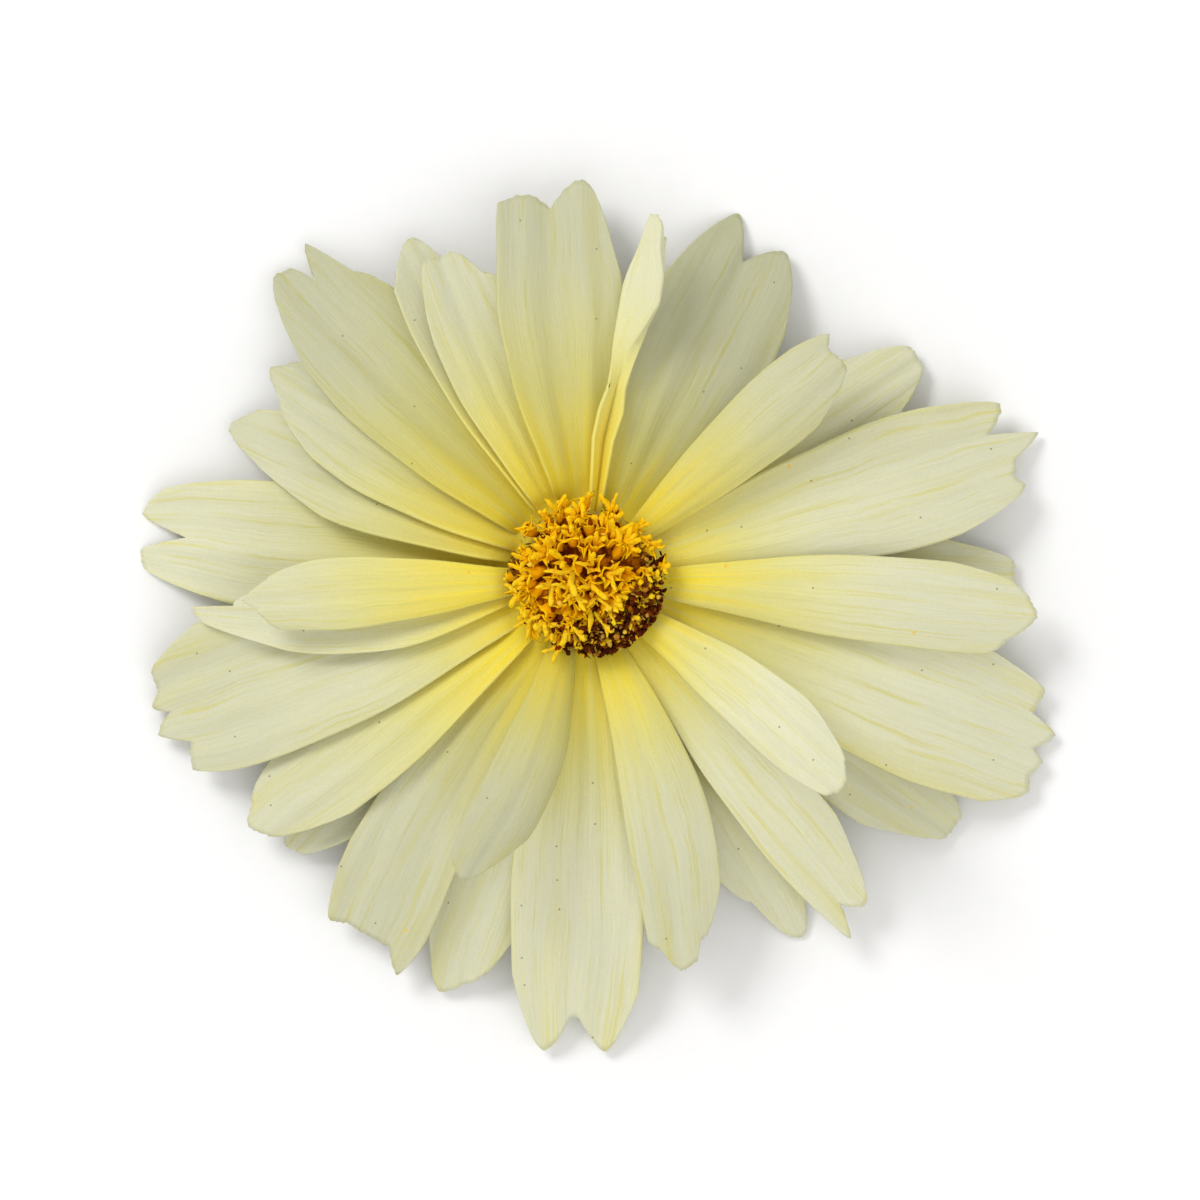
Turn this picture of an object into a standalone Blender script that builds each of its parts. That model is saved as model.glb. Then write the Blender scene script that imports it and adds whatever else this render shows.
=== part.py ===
"""Coreopsis flower head, picked with a short stub of stem, lying face up.

The head is built from below upwards: the stub of stem, a ring of narrow green outer bracts, the
cup of broad inner bracts, the 29 ray florets ("petals") and the domed disc of small tubular
florets. The rays are laid one on another in a set order, so that each rests on the rays below it.
Driving dimensions are in millimetres and angles in degrees; the meshes are in metres.
"""

import math
from collections import namedtuple
from functools import partial

import bmesh
import bpy
import numpy as np
from mathutils import Matrix, Vector

MM = 0.001

# The disc's axis stands a little off the middle of the head, whose rays are unequal.
DISC_X = -0.72
DISC_Y = 2.58

# Points down the outer side of each turned core: radius, height. A gap of 0.3 lies between one
# core and the next, and between the stem's cut end and the table.
RECEPTACLE_SIDE = ((3.9, 9.2), (4.3, 8.8), (4.6, 7.3), (4.1, 6.9))
CUP_SIDE = ((4.1, 6.6), (4.4, 6.3), (4.0, 5.3), (3.1, 4.5), (2.1, 4.1))
COLLAR_SIDE = ((2.1, 3.8), (2.4, 3.55), (2.4, 3.15), (1.9, 2.9))
STEM_SIDE = ((1.5, 2.6), (1.5, 2.3), (1.1, 1.3), (1.1, 0.4), (1.0, 0.3))
TURN_STEPS = 32

# Outer bracts: narrow, wider at the middle than at the root, and rising a little to the tip.
OUTER_BRACTS = 8
OUTER_BRACT_START = 1.4
OUTER_BRACT_LENGTH = 8.0
OUTER_BRACT_WIDTH = 1.7
OUTER_BRACT_ROOT = 0.65
OUTER_BRACT_SWELL = 0.6
OUTER_BRACT_TAPER = 0.85
OUTER_BRACT_THICKNESS = 0.7
OUTER_BRACT_HEIGHT = 3.35
OUTER_BRACT_RISE = 0.9
OUTER_BRACT_CHANNEL = 0.2
OUTER_BRACT_ROUNDING = 0.5
OUTER_BRACT_ROWS = 6
OUTER_BRACT_COLUMNS = (-1, 0, 1)

# Inner bracts: broad, each following this way up the cup and out: share, radius, height. Their
# width follows this part of a half sine wave from root to tip.
INNER_BRACTS = 8
INNER_BRACT_WIDTH = 3.5
INNER_BRACT_THICKNESS = 0.6
INNER_BRACT_WAY = ((0.0, 1.7, 4.52), (0.35, 3.35, 4.75), (0.62, 4.35, 5.65), (0.8, 5.4, 6.2),
                   (1.0, 6.7, 6.45))
INNER_BRACT_SPREAD = (0.16, 0.92)
INNER_BRACT_FULLNESS = 0.7
INNER_BRACT_ROOT_RADIUS = 2.4
INNER_BRACT_ROUNDING = 0.35
INNER_BRACT_ROWS = 8
INNER_BRACT_COLUMNS = (-1, -0.5, 0, 0.5, 1)

# A ray's blade, its narrow claw at the disc, and the step from one laid blade to the next.
BLADE = 0.6
BLADE_STEP = 0.75
CLAW_START = 3.4
CLAW_SHARE = 0.27
CLAW_LOW = 8.0
CLAW_HIGH = 8.8
HIGH_TIP = 9.0
BLADE_ROWS = 9
COLUMN_GAP = 0.55
TWIST = 0.35
WAVE = 0.25
WAVE_TURN = 5.5
RAY_SEED = 29

# Curves of a ray: how its sides swell from the claw and draw in to the tip, how round its teeth
# and its two shoulders are, and how its channel opens from the claw and lies about its middle
# height.
SWELL_POWER = 1.2
DRAW_IN_POWER = 2
TOOTH_POWER = 1.2
SHOULDER_POWER = 2
CHANNEL_OPEN = 0.25
CHANNEL_MIDDLE = 0.3

# How the rays are laid: where they must lie clear of each other and of the inner bracts.
LAY_ROWS = 31
LAY_SHARES = np.linspace(0, 1, LAY_ROWS)
LAY_PLACES = np.linspace(-1, 1, 13)
LAY_TURNS = 400
LAY_PUSH = 0.6
LAY_GROUND_PUSH = 0.5
LAY_SMOOTHING = 0.1
CLAW_HELD = 0.07
CLAW_CLEAR = 5.6
BRACT_REACH = 7.2
BRACT_CLEAR = 7.1
TABLE_CLEAR = 0.6

# Columns: direction of the ray, how far its tip reaches from the axis, its full width, the share
# of its length where it is widest, how much of that width is left at the tip, how far its middle
# bows sideways, how deep it is channelled (below 0 where its edges curve down instead), the height
# of its tip (0 for the three that carry it),
# how far it arches, and its tip: places across from the left edge (1) to the right edge (-1),
# each with how far the edge falls short of the reach there.
Ray = namedtuple("Ray", "azimuth reach width widest shoulder bow channel tip arch teeth")

# The lowest ray comes first: each one lies over those before it wherever they meet.
RAYS = [
    Ray(174.2, 29.5, 8.6, 0.60, 0.68, 0.0, 0.3, 0.0, 1.6,
        ((1, 6.0), (0.78, 0.4), (0.4, 0.1), (0.03, 3.0), (-0.42, 0.0), (-0.88, 1.0), (-1, 5.5))),
    Ray(157.3, 25.5, 6.2, 0.66, 0.68, 0.0, 0.3, 1.2, 1.4,
        ((1, 8.0), (0.0, 0.0), (-0.66, 1.2), (-1, 5.5))),
    Ray(147.5, 24.9, 6.6, 0.62, 0.62, 0.0, 0.3, 2.0, 1.6,
        ((1, 5.5), (0.41, 1.7), (-0.2, 0.0), (-0.5, 0.8), (-1, 4.0))),
    Ray(133.8, 28.6, 8.2, 0.64, 0.80, 0.0, 0.3, 0.8, 1.8,
        ((1, 6.3), (0.32, 0.1), (0.0, 0.5), (-0.16, 2.2), (-0.56, 0.0), (-0.74, 3.6), (-1, 6.0))),
    Ray(117.7, 25.1, 5.6, 0.66, 0.75, 0.0, 0.3, 1.6, 1.4,
        ((1, 2.6), (-0.04, 0.0), (-1, 8.0))),
    Ray(114.0, 23.2, 6.0, 0.68, 0.78, 0.0, 0.3, 4.0, 1.2,
        ((1, 5.2), (0.58, 0.0), (0.15, 0.2), (-0.25, 0.1), (-0.7, 2.3), (-1, 3.2))),
    Ray(94.7, 26.0, 8.2, 0.68, 0.88, 0.3, 0.4, 3.0, 1.6,
        ((1, 1.1), (0.5, 0.7), (0.1, 1.8), (-0.5, 0.0), (-1, 6.6))),
    Ray(63.2, 25.8, 9.1, 0.66, 0.82, 0.0, 0.4, 0.0, 1.6,
        ((1, 5.6), (0.5, 0.0), (0.05, 2.8), (-0.5, 0.9), (-1, 5.8))),
    Ray(79.8, 24.1, 2.9, 0.75, 0.75, 0.0, 2.2, 7.0, 0.8,
        ((1, 5.0), (0.5, 0.0), (-0.55, 1.6), (-1, 1.4))),
    Ray(33.6, 26.2, 6.0, 0.70, 0.80, 0.0, 0.3, 0.4, 1.4,
        ((1, 6.5), (0.3, 0.1), (-0.2, 0.1), (-1, 4.5))),
    Ray(0.5, 28.2, 5.3, 0.70, 0.70, 0.0, 0.3, 1.0, 1.4,
        ((1, 6.5), (0.4, 0.1), (-0.4, 0.1), (-1, 2.5))),
    Ray(16.6, 31.1, 8.8, 0.72, 0.70, 0.0, 0.4, 0.8, 1.8,
        ((1, 7.0), (0.87, 1.8), (0.36, 3.2), (0.2, 0.0), (-0.15, 1.8), (-0.42, 2.4), (-0.68, 1.8),
         (-1, 6.8))),
    Ray(41.2, 22.3, 5.0, 0.74, 0.85, 0.0, -0.5, 9.0, 0.6,
        ((1, 2.4), (0.7, 0.0), (0.39, 0.75), (-0.3, 0.5), (-1, 4.6))),
    Ray(-34.6, 29.3, 6.4, 0.70, 0.70, 0.0, 0.3, 1.0, 1.6,
        ((1, 4.0), (0.42, 0.1), (-0.25, 0.1), (-1, 5.5))),
    Ray(-20.6, 32.5, 10.0, 0.74, 0.84, 0.0, 0.4, 0.8, 2.0,
        ((1, 7.0), (0.8, 1.7), (0.42, 1.9), (0.26, 0.0), (-0.06, 1.1), (-0.21, 0.2), (-0.47, 0.7),
         (-0.67, 0.4), (-1, 3.0))),
    Ray(-5.0, 29.6, 5.8, 0.70, 0.88, 0.2, -0.2, 4.0, 1.2,
        ((1, 6.0), (0.7, 1.4), (0.3, 0.4), (0.1, 0.0), (-0.66, 1.9), (-1, 3.2))),
    Ray(-60.0, 27.6, 5.3, 0.68, 0.70, 0.0, 0.3, 0.0, 1.6,
        ((1, 4.2), (0.26, 0.0), (-0.25, 0.8), (-0.54, 3.8), (-1, 6.6))),
    Ray(-50.4, 29.3, 5.3, 0.66, 0.80, 0.0, 0.4, 2.4, 1.6,
        ((1, 7.0), (0.17, 1.1), (-0.4, 2.2), (-0.88, 0.0), (-1, 4.0))),
    Ray(-38.5, 21.5, 4.6, 0.70, 0.75, 0.5, -0.5, 12.5, 0.6,
        ((1, 5.5), (0.47, 0.9), (-0.2, 0.0), (-0.8, 0.5), (-1, 4.0))),
    Ray(-108.0, 28.9, 7.0, 0.70, 0.80, 0.0, 0.3, 1.0, 1.6,
        ((1, 7.0), (0.2, 1.0), (-0.27, 0.0), (-1, 6.5))),
    Ray(-91.6, 31.2, 8.8, 0.66, 0.77, 0.0, 0.4, 1.0, 1.8,
        ((1, 4.0), (0.6, 0.1), (0.07, 2.3), (-0.07, 2.3), (-0.6, 0.0), (-1, 5.0))),
    Ray(-75.3, 26.5, 5.6, 0.68, 0.76, 1.1, -0.3, 4.5, 1.2,
        ((1, 5.0), (0.37, 1.6), (0.25, 0.4), (-0.2, 0.0), (-0.75, 1.8), (-1, 2.4))),
    Ray(-136.4, 26.5, 5.4, 0.70, 0.75, 0.0, 0.3, 1.0, 1.4,
        ((1, 7.0), (0.06, 0.4), (-0.46, 0.0), (-1, 2.0))),
    Ray(-121.3, 28.8, 7.4, 0.86, 0.94, -1.0, 0.4, 1.8, 1.6,
        ((1, 2.5), (0.85, 0.0), (0.5, 1.3), (-0.45, 1.2), (-0.77, 0.8), (-1, 6.0))),
    Ray(-143.0, 27.6, 6.2, 0.72, 0.76, 0.0, -0.2, 2.2, 1.4,
        ((1, 6.0), (0.3, 0.6), (-0.15, 0.0), (-0.5, 1.1), (-1, 4.0))),
    Ray(-162.1, 30.0, 10.0, 0.74, 0.84, 0.0, 0.4, 1.6, 1.8,
        ((1, 4.2), (0.9, 1.5), (0.5, 1.9), (0.29, 0.0), (0.0, 1.2), (-0.13, 0.2), (-0.37, 0.9),
         (-0.62, 0.8), (-1, 4.6))),
    Ray(-175.5, 26.0, 5.6, 0.50, 0.50, 1.0, 0.3, 4.0, 1.2,
        ((1, 6.0), (0.5, 0.5), (-0.05, 0.0), (-0.15, 2.8), (-1, 8.0))),
    Ray(-176.2, 22.5, 4.6, 0.70, 0.68, 0.0, -0.4, 9.5, 0.6,
        ((1, 2.3), (0.3, 0.9), (0.1, 0.0), (-0.61, 1.7), (-1, 4.6))),
    Ray(-112.3, 21.2, 4.4, 0.66, 0.75, 1.1, -0.6, 12.0, 0.6,
        ((1, 4.0), (0.04, 0.0), (-0.63, 0.7), (-1, 3.5))),
]

# The disc: a domed core with its florets set round it by the golden angle.
DISC_CORE_RADIUS = 4.3
DISC_SHOULDER = 9.9
DISC_CROWN = 11.8
DISC_SIDE_FOOT = ((4.3, 9.8), (4.0, 9.5))
DOME_STEPS = 6
DISC_FLORETS = 66
DISC_RIM_SHARE = 0.97
DISC_SPREAD = 4.55
FLORET_TUBE_RADIUS = 0.30
FLORET_MOUTH_RADIUS = 0.54
FLORET_HEIGHT = 0.85
FLORET_SUNK = 0.6
FLORET_SIDES = 5
FLORET_SIZE_JITTER = 0.12
MOUTH_DEPTH = 0.12
ANTHER_INSET = 0.28
ANTHER_HEIGHT = 0.7
RIM_LEAN = 46.0
FLORET_LEAN_JITTER = 7.0
DISC_SEED = 7
GOLDEN_ANGLE = math.pi * (3 - math.sqrt(5))

CREAM = (0.76, 0.74, 0.50)
ORANGE_YELLOW = (0.83, 0.42, 0.02)
STRAW_GREEN = (0.42, 0.40, 0.12)
LEAF_GREEN = (0.16, 0.26, 0.06)
STALK_GREEN = (0.24, 0.34, 0.10)


def clear_scene():
    for obj in list(bpy.data.objects):
        bpy.data.objects.remove(obj, do_unlink=True)


def new_collection(name):
    collection = bpy.data.collections.new(name)
    bpy.context.scene.collection.children.link(collection)
    return collection


def new_material(name, color, roughness):
    material = bpy.data.materials.new(name)
    material.use_nodes = True
    shader = material.node_tree.nodes["Principled BSDF"]
    shader.inputs["Base Color"].default_value = (*color, 1.0)
    shader.inputs["Roughness"].default_value = roughness
    shader.inputs["Metallic"].default_value = 0.0
    return material


def new_object(name, mesh, collection, material):
    obj = bpy.data.objects.new(name, mesh)
    mesh.materials.append(material)
    collection.objects.link(obj)
    obj.location = (DISC_X * MM, DISC_Y * MM, 0.0)
    return obj


def turned(name, side, collection, material):
    """A solid of revolution from the points down its outer side."""
    profile = [(0.0, side[0][1]), *side, (0.0, side[-1][1])]
    bm = bmesh.new()
    verts = [bm.verts.new((radius * MM, 0.0, height * MM)) for radius, height in profile]
    for upper, lower in zip(verts, verts[1:]):
        bm.edges.new((upper, lower))
    mesh = bpy.data.meshes.new(name)
    bm.to_mesh(mesh)
    bm.free()
    obj = new_object(name, mesh, collection, material)
    screw = obj.modifiers.new("Turn", "SCREW")
    screw.steps = TURN_STEPS
    screw.render_steps = TURN_STEPS
    screw.use_merge_vertices = True
    screw.merge_threshold = 0.00001
    return obj


def blade(name, columns, rows, place, thickness, collection, material):
    """A thin blade: place(share along, place across) gives each point of its middle surface."""
    bm = bmesh.new()
    bmesh.ops.create_grid(bm, x_segments=len(columns) - 1, y_segments=rows, size=1.0)
    bm.verts.ensure_lookup_table()
    for vert in bm.verts:
        column = round((vert.co.x + 1) / 2 * (len(columns) - 1))
        row = round((vert.co.y + 1) / 2 * rows)
        vert.co = Vector(place(row / rows, columns[column])) * MM
    bmesh.ops.triangulate(bm, faces=bm.faces[:])
    mesh = bpy.data.meshes.new(name)
    bm.to_mesh(mesh)
    bm.free()
    obj = new_object(name, mesh, collection, material)
    solidify = obj.modifiers.new("Thickness", "SOLIDIFY")
    solidify.thickness = thickness * MM
    solidify.offset = 0.0
    return obj


def fuse(core, repeats):
    """Join the repeats' collection to their core in one body, and remove the repeats."""
    union = core.modifiers.new("Fuse", "BOOLEAN")
    union.operation = "UNION"
    union.operand_type = "COLLECTION"
    union.collection = repeats
    union.solver = "MANIFOLD"
    bpy.context.view_layer.update()
    evaluated = core.evaluated_get(bpy.context.evaluated_depsgraph_get())
    joined = bpy.data.meshes.new_from_object(evaluated)
    core.modifiers.clear()
    core.data = joined
    for obj in list(repeats.objects):
        bpy.data.objects.remove(obj, do_unlink=True)
    bpy.data.collections.remove(repeats)
    keep_largest_body(joined)


def keep_largest_body(mesh):
    """Drop loose scraps, and the walls of hollows that the union sealed."""
    bm = bmesh.new()
    bm.from_mesh(mesh)
    unseen = set(bm.faces)
    bodies = []
    while unseen:
        body = set()
        edge_of_search = [unseen.pop()]
        while edge_of_search:
            face = edge_of_search.pop()
            body.add(face)
            for edge in face.edges:
                for neighbour in edge.link_faces:
                    if neighbour in unseen:
                        unseen.discard(neighbour)
                        edge_of_search.append(neighbour)
        bodies.append(body)
    bodies.sort(key=len)
    for body in bodies[:-1]:
        bmesh.ops.delete(bm, geom=list(body), context="FACES")
    bm.to_mesh(mesh)
    bm.free()


def half_width(ray, along):
    rise = np.sin(0.5 * math.pi * np.clip(along / ray.widest, 0, 1)) ** SWELL_POWER
    fall = np.clip((along - ray.widest) / (1 - ray.widest), 0, 1) ** DRAW_IN_POWER
    return 0.5 * ray.width * (CLAW_SHARE + (1 - CLAW_SHARE) * rise - (1 - ray.shoulder) * fall)


def tip_cut(ray, across):
    """How far the toothed tip falls short of the reach: sharp notches, round shoulders."""
    across = np.asarray(across, float)
    cut = np.zeros_like(across)
    for (left, left_cut), (right, right_cut) in zip(ray.teeth, ray.teeth[1:]):
        share = np.clip((across - right) / (left - right), 0, 1)
        from_peak = share if left_cut > right_cut else 1 - share
        power = SHOULDER_POWER if left == 1 or right == -1 else TOOTH_POWER
        curve = min(left_cut, right_cut) + abs(left_cut - right_cut) * from_peak ** power
        cut = np.where((across <= left) & (across >= right), curve, cut)
    return cut


def end_share(ray, across):
    return 1 - tip_cut(ray, across) / (ray.reach - CLAW_START)


def plan_point(ray, along, across):
    """Place on the table of a point of the ray, seen from above."""
    out = CLAW_START + (ray.reach - CLAW_START) * along
    side = across * half_width(ray, along) + ray.bow * np.sin(math.pi * along)
    turn = math.radians(ray.azimuth)
    x = out * math.cos(turn) - side * math.sin(turn)
    y = out * math.sin(turn) + side * math.cos(turn)
    return x, y


def locate(ray, x, y):
    """Share along and place across of a point on the table, as the ray sees it."""
    turn = math.radians(ray.azimuth)
    out = x * math.cos(turn) + y * math.sin(turn)
    side = y * math.cos(turn) - x * math.sin(turn)
    along = (out - CLAW_START) / (ray.reach - CLAW_START)
    inside = np.clip(along, 0, 1)
    return along, (side - ray.bow * np.sin(math.pi * inside)) / half_width(ray, inside)


class LaidRay:
    """A ray with the heights of its middle surface, and what its two edges are lifted by."""

    def __init__(self, ray, draw):
        self.ray = ray
        self.claw_height = CLAW_LOW + (CLAW_HIGH - CLAW_LOW) * min(ray.tip / HIGH_TIP, 1)
        self.twist = draw.uniform(-TWIST, TWIST)
        self.wave = draw.uniform(0.4, 1.0) * WAVE
        self.phase = draw.uniform(0, 2 * math.pi)
        self.drop = 0.0
        self.lifts = np.zeros((LAY_ROWS, 2))

    def free_height(self, along, across):
        """Height before the ray is laid on others."""
        ray = self.ray
        middle = self.claw_height + (ray.tip - self.claw_height) * along
        middle = middle + ray.arch * np.sin(math.pi * along)
        opened = np.sin(0.5 * math.pi * np.clip(along / CHANNEL_OPEN, 0, 1))
        cup = ray.channel * (across ** 2 - CHANNEL_MIDDLE) * opened
        sway = self.twist * across * along
        sway = sway + self.wave * along * np.sin(WAVE_TURN * along + self.phase)
        return middle + cup + sway

    def height(self, along, across):
        left = np.interp(along, LAY_SHARES, self.lifts[:, 0]) * (1 + across) / 2
        right = np.interp(along, LAY_SHARES, self.lifts[:, 1]) * (1 - across) / 2
        return self.free_height(along, across) + left + right - self.drop * along

    def point(self, share, across):
        """Point of the middle surface, at a share of the way to the toothed tip."""
        along = share * float(end_share(self.ray, across))
        x, y = plan_point(self.ray, along, across)
        return x, y, self.height(along, across)


def meetings(laid):
    """Every sampled place where one ray covers another, and the clearance there when unlaid."""
    along, across = np.meshgrid(LAY_SHARES, LAY_PLACES, indexing="ij")
    rows = np.broadcast_to(np.arange(LAY_ROWS)[:, None], along.shape)
    found = []
    for over, upper in enumerate(laid):
        x, y = plan_point(upper.ray, along, across)
        own = upper.free_height(along, across)
        for under, lower in enumerate(laid[:over]):
            there, place = locate(lower.ray, x, y)
            covers = (np.abs(place) < 1) & (there > 0) & (np.hypot(x, y) > CLAW_CLEAR)
            covers &= there < end_share(lower.ray, np.clip(place, -1, 1))
            covers &= along < end_share(upper.ray, across)
            there = there[covers]
            place = place[covers]
            clear = own[covers] - lower.free_height(there, place) - BLADE_STEP
            count = len(clear)
            found.append((np.full(count, over), rows[covers], across[covers],
                          np.full(count, under), there * (LAY_ROWS - 1), place, clear))
    return [np.concatenate(column) for column in zip(*found)]


def settle(laid):
    """Move the edges of rays that meet apart, a little at a time, until they lie clear."""
    over, row, across, under, there, place, clear = meetings(laid)
    step = np.minimum(there.astype(int), LAY_ROWS - 2)
    part = there - step
    # Each sample pushes on these edges with these weights: the upper ray up, the lower down.
    edges = [(over, row, 0, (1 + across) / 2), (over, row, 1, (1 - across) / 2)]
    for side, weight in ((0, (1 + place) / 2), (1, (1 - place) / 2)):
        edges.append((under, step, side, -weight * (1 - part)))
        edges.append((under, step + 1, side, -weight * part))
    along, spread = np.meshgrid(LAY_SHARES, LAY_PLACES, indexing="ij")
    ground = []
    for ray in laid:
        radius = np.hypot(*plan_point(ray.ray, along, spread))
        table = 0.0 if ray.ray.tip == 0 else TABLE_CLEAR
        ground.append(np.where(radius < BRACT_REACH, BRACT_CLEAR, table) + BLADE / 2)
    ground = np.array(ground) - np.array([ray.free_height(along, spread) for ray in laid])
    lifts = np.zeros((len(laid), LAY_ROWS, 2))
    for turn in range(LAY_TURNS):
        gap = clear.copy()
        for index, index_row, side, weight in edges:
            gap += weight * lifts[index, index_row, side]
        short = np.clip(-gap, 0, None)
        push = np.zeros_like(lifts)
        share = np.full_like(lifts, 1e-6)
        for index, index_row, side, weight in edges:
            np.add.at(push, (index, index_row, side), short * weight)
            np.add.at(share, (index, index_row, side), (short > 0) * np.abs(weight))
        lifts += LAY_PUSH * push / share
        level = lifts[:, :, :1] * (1 + spread) / 2 + lifts[:, :, 1:] * (1 - spread) / 2
        lifts += np.clip(ground - level, 0, None).max(axis=2)[:, :, None] * LAY_GROUND_PUSH
        beside = np.pad(lifts, ((0, 0), (1, 1), (0, 0)), mode="edge")
        lifts += LAY_SMOOTHING * (beside[:, :-2] + beside[:, 2:] - 2 * lifts)
        lifts[:, LAY_SHARES < CLAW_HELD, :] = 0
    for ray, ray_lifts in zip(laid, lifts):
        ray.lifts = ray_lifts


def lay_rays():
    draw = np.random.default_rng(RAY_SEED)
    laid = [LaidRay(ray, draw) for ray in RAYS]
    settle(laid)
    outer_half, across = np.meshgrid(LAY_SHARES[LAY_ROWS // 2:], LAY_PLACES, indexing="ij")
    for ray in laid:
        if ray.ray.tip == 0:
            along = outer_half * end_share(ray.ray, across)
            ray.drop = ((ray.height(along, across) - BLADE / 2) / along).min()
    return laid


def blade_columns(ray):
    """Places across the blade: at each tooth and notch, and between those that lie far apart."""
    columns = []
    places = [place for place, cut in reversed(ray.teeth)]
    for left, right in zip(places, places[1:]):
        parts = max(1, math.ceil((right - left) / COLUMN_GAP))
        columns += [left + (right - left) * k / parts for k in range(parts)]
    return columns + [places[-1]]


def make_ray_florets(collection):
    material = new_material("ray_cream", CREAM, 0.6)
    core = turned("ray_florets", RECEPTACLE_SIDE, collection, material)
    repeats = new_collection("rays")
    for number, laid in enumerate(lay_rays()):
        blade(f"ray_{number:02d}", blade_columns(laid.ray), BLADE_ROWS, laid.point, BLADE, repeats,
              material)
    fuse(core, repeats)


def make_stem(collection):
    material = new_material("stalk", STALK_GREEN, 0.55)
    turned("stem", STEM_SIDE, collection, material)


def outer_bract_point(turn, share, across):
    length = OUTER_BRACT_LENGTH - OUTER_BRACT_ROUNDING * across ** 2 * share
    out = OUTER_BRACT_START + length * share
    width = OUTER_BRACT_WIDTH * (OUTER_BRACT_ROOT + OUTER_BRACT_SWELL * share)
    side = 0.5 * width * (1 - OUTER_BRACT_TAPER * share ** 3) * across
    rise = OUTER_BRACT_RISE * share ** 2 + OUTER_BRACT_CHANNEL * across ** 2 * share
    x = out * math.cos(turn) - side * math.sin(turn)
    y = out * math.sin(turn) + side * math.cos(turn)
    return x, y, OUTER_BRACT_HEIGHT + rise


def make_outer_bracts(collection):
    material = new_material("outer_bract", LEAF_GREEN, 0.55)
    core = turned("outer_bracts", COLLAR_SIDE, collection, material)
    repeats = new_collection("outer_bract_blades")
    for number in range(OUTER_BRACTS):
        place = partial(outer_bract_point, 2 * math.pi * (number + 0.5) / OUTER_BRACTS)
        blade(f"outer_bract_{number}", OUTER_BRACT_COLUMNS, OUTER_BRACT_ROWS, place,
              OUTER_BRACT_THICKNESS, repeats, material)
    fuse(core, repeats)


def inner_bract_point(turn, share, across):
    way_share, way_radius, way_height = zip(*INNER_BRACT_WAY)
    out = float(np.interp(share, way_share, way_radius))
    height = float(np.interp(share, way_share, way_height))
    first, last = INNER_BRACT_SPREAD
    wave = math.sin(math.pi * (first + (last - first) * share))
    width = INNER_BRACT_WIDTH * wave ** INNER_BRACT_FULLNESS
    angle = turn + 0.5 * width * across / max(out, INNER_BRACT_ROOT_RADIUS)
    out -= INNER_BRACT_ROUNDING * across ** 2 * share
    return out * math.cos(angle), out * math.sin(angle), height


def make_inner_bracts(collection):
    material = new_material("inner_bract", STRAW_GREEN, 0.55)
    core = turned("inner_bracts", CUP_SIDE, collection, material)
    repeats = new_collection("inner_bract_blades")
    for number in range(INNER_BRACTS):
        place = partial(inner_bract_point, 2 * math.pi * number / INNER_BRACTS)
        blade(f"inner_bract_{number}", INNER_BRACT_COLUMNS, INNER_BRACT_ROWS, place,
              INNER_BRACT_THICKNESS, repeats, material)
    fuse(core, repeats)


def make_disc_florets(collection):
    material = new_material("disc_floret", ORANGE_YELLOW, 0.55)
    rise = DISC_CROWN - DISC_SHOULDER
    dome = []
    for step in range(1, DOME_STEPS + 1):
        angle = 0.5 * math.pi * step / DOME_STEPS
        dome.append((DISC_CORE_RADIUS * math.sin(angle), DISC_SHOULDER + rise * math.cos(angle)))
    core = turned("disc_florets", [*dome, *DISC_SIDE_FOOT], collection, material)
    repeats = new_collection("disc_floret_tubes")
    draw = np.random.default_rng(DISC_SEED)
    for number in range(DISC_FLORETS):
        share = math.sqrt((number + 0.5) / DISC_FLORETS)
        turn = number * GOLDEN_ANGLE
        on_core = min(DISC_SPREAD * share / DISC_CORE_RADIUS, DISC_RIM_SHARE)
        height = DISC_SHOULDER + rise * math.sqrt(1 - on_core ** 2)
        lean = RIM_LEAN * share ** 1.5 + draw.uniform(-1, 1) * FLORET_LEAN_JITTER
        size = 1 + draw.uniform(-1, 1) * FLORET_SIZE_JITTER
        spin = draw.uniform(0, 2 * math.pi)
        place = (Matrix.Rotation(turn, 4, "Z")
                 @ Matrix.Translation(Vector((DISC_CORE_RADIUS * on_core, 0, height)) * MM)
                 @ Matrix.Rotation(math.radians(lean), 4, "Y")
                 @ Matrix.Rotation(spin, 4, "Z"))
        disc_floret(f"disc_floret_{number:02d}", place, size, repeats, material)
    fuse(core, repeats)


def disc_floret(name, place, size, collection, material):
    """A five-sided tube that widens to its mouth, with the anthers standing out of it."""
    bm = bmesh.new()
    depth = FLORET_HEIGHT * size + FLORET_SUNK
    bmesh.ops.create_cone(bm, cap_ends=True, segments=FLORET_SIDES,
                          radius1=FLORET_TUBE_RADIUS * MM,
                          radius2=FLORET_MOUTH_RADIUS * size * MM, depth=depth * MM)
    bmesh.ops.translate(bm, verts=bm.verts, vec=(0, 0, (depth / 2 - FLORET_SUNK) * MM))
    mouth = max(bm.faces, key=lambda face: face.calc_center_median().z)
    bmesh.ops.inset_individual(bm, faces=[mouth], thickness=ANTHER_INSET * size * MM,
                               depth=-MOUTH_DEPTH * MM)
    raised = bmesh.ops.extrude_discrete_faces(bm, faces=[mouth])["faces"][0]
    bmesh.ops.translate(bm, verts=raised.verts, vec=(0, 0, ANTHER_HEIGHT * size * MM))
    bmesh.ops.transform(bm, matrix=place, verts=bm.verts)
    mesh = bpy.data.meshes.new(name)
    bm.to_mesh(mesh)
    bm.free()
    new_object(name, mesh, collection, material)


def main():
    clear_scene()
    head = new_collection("coreopsis_flower")
    make_stem(head)
    make_outer_bracts(head)
    make_inner_bracts(head)
    make_ray_florets(head)
    make_disc_florets(head)


main()
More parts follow.
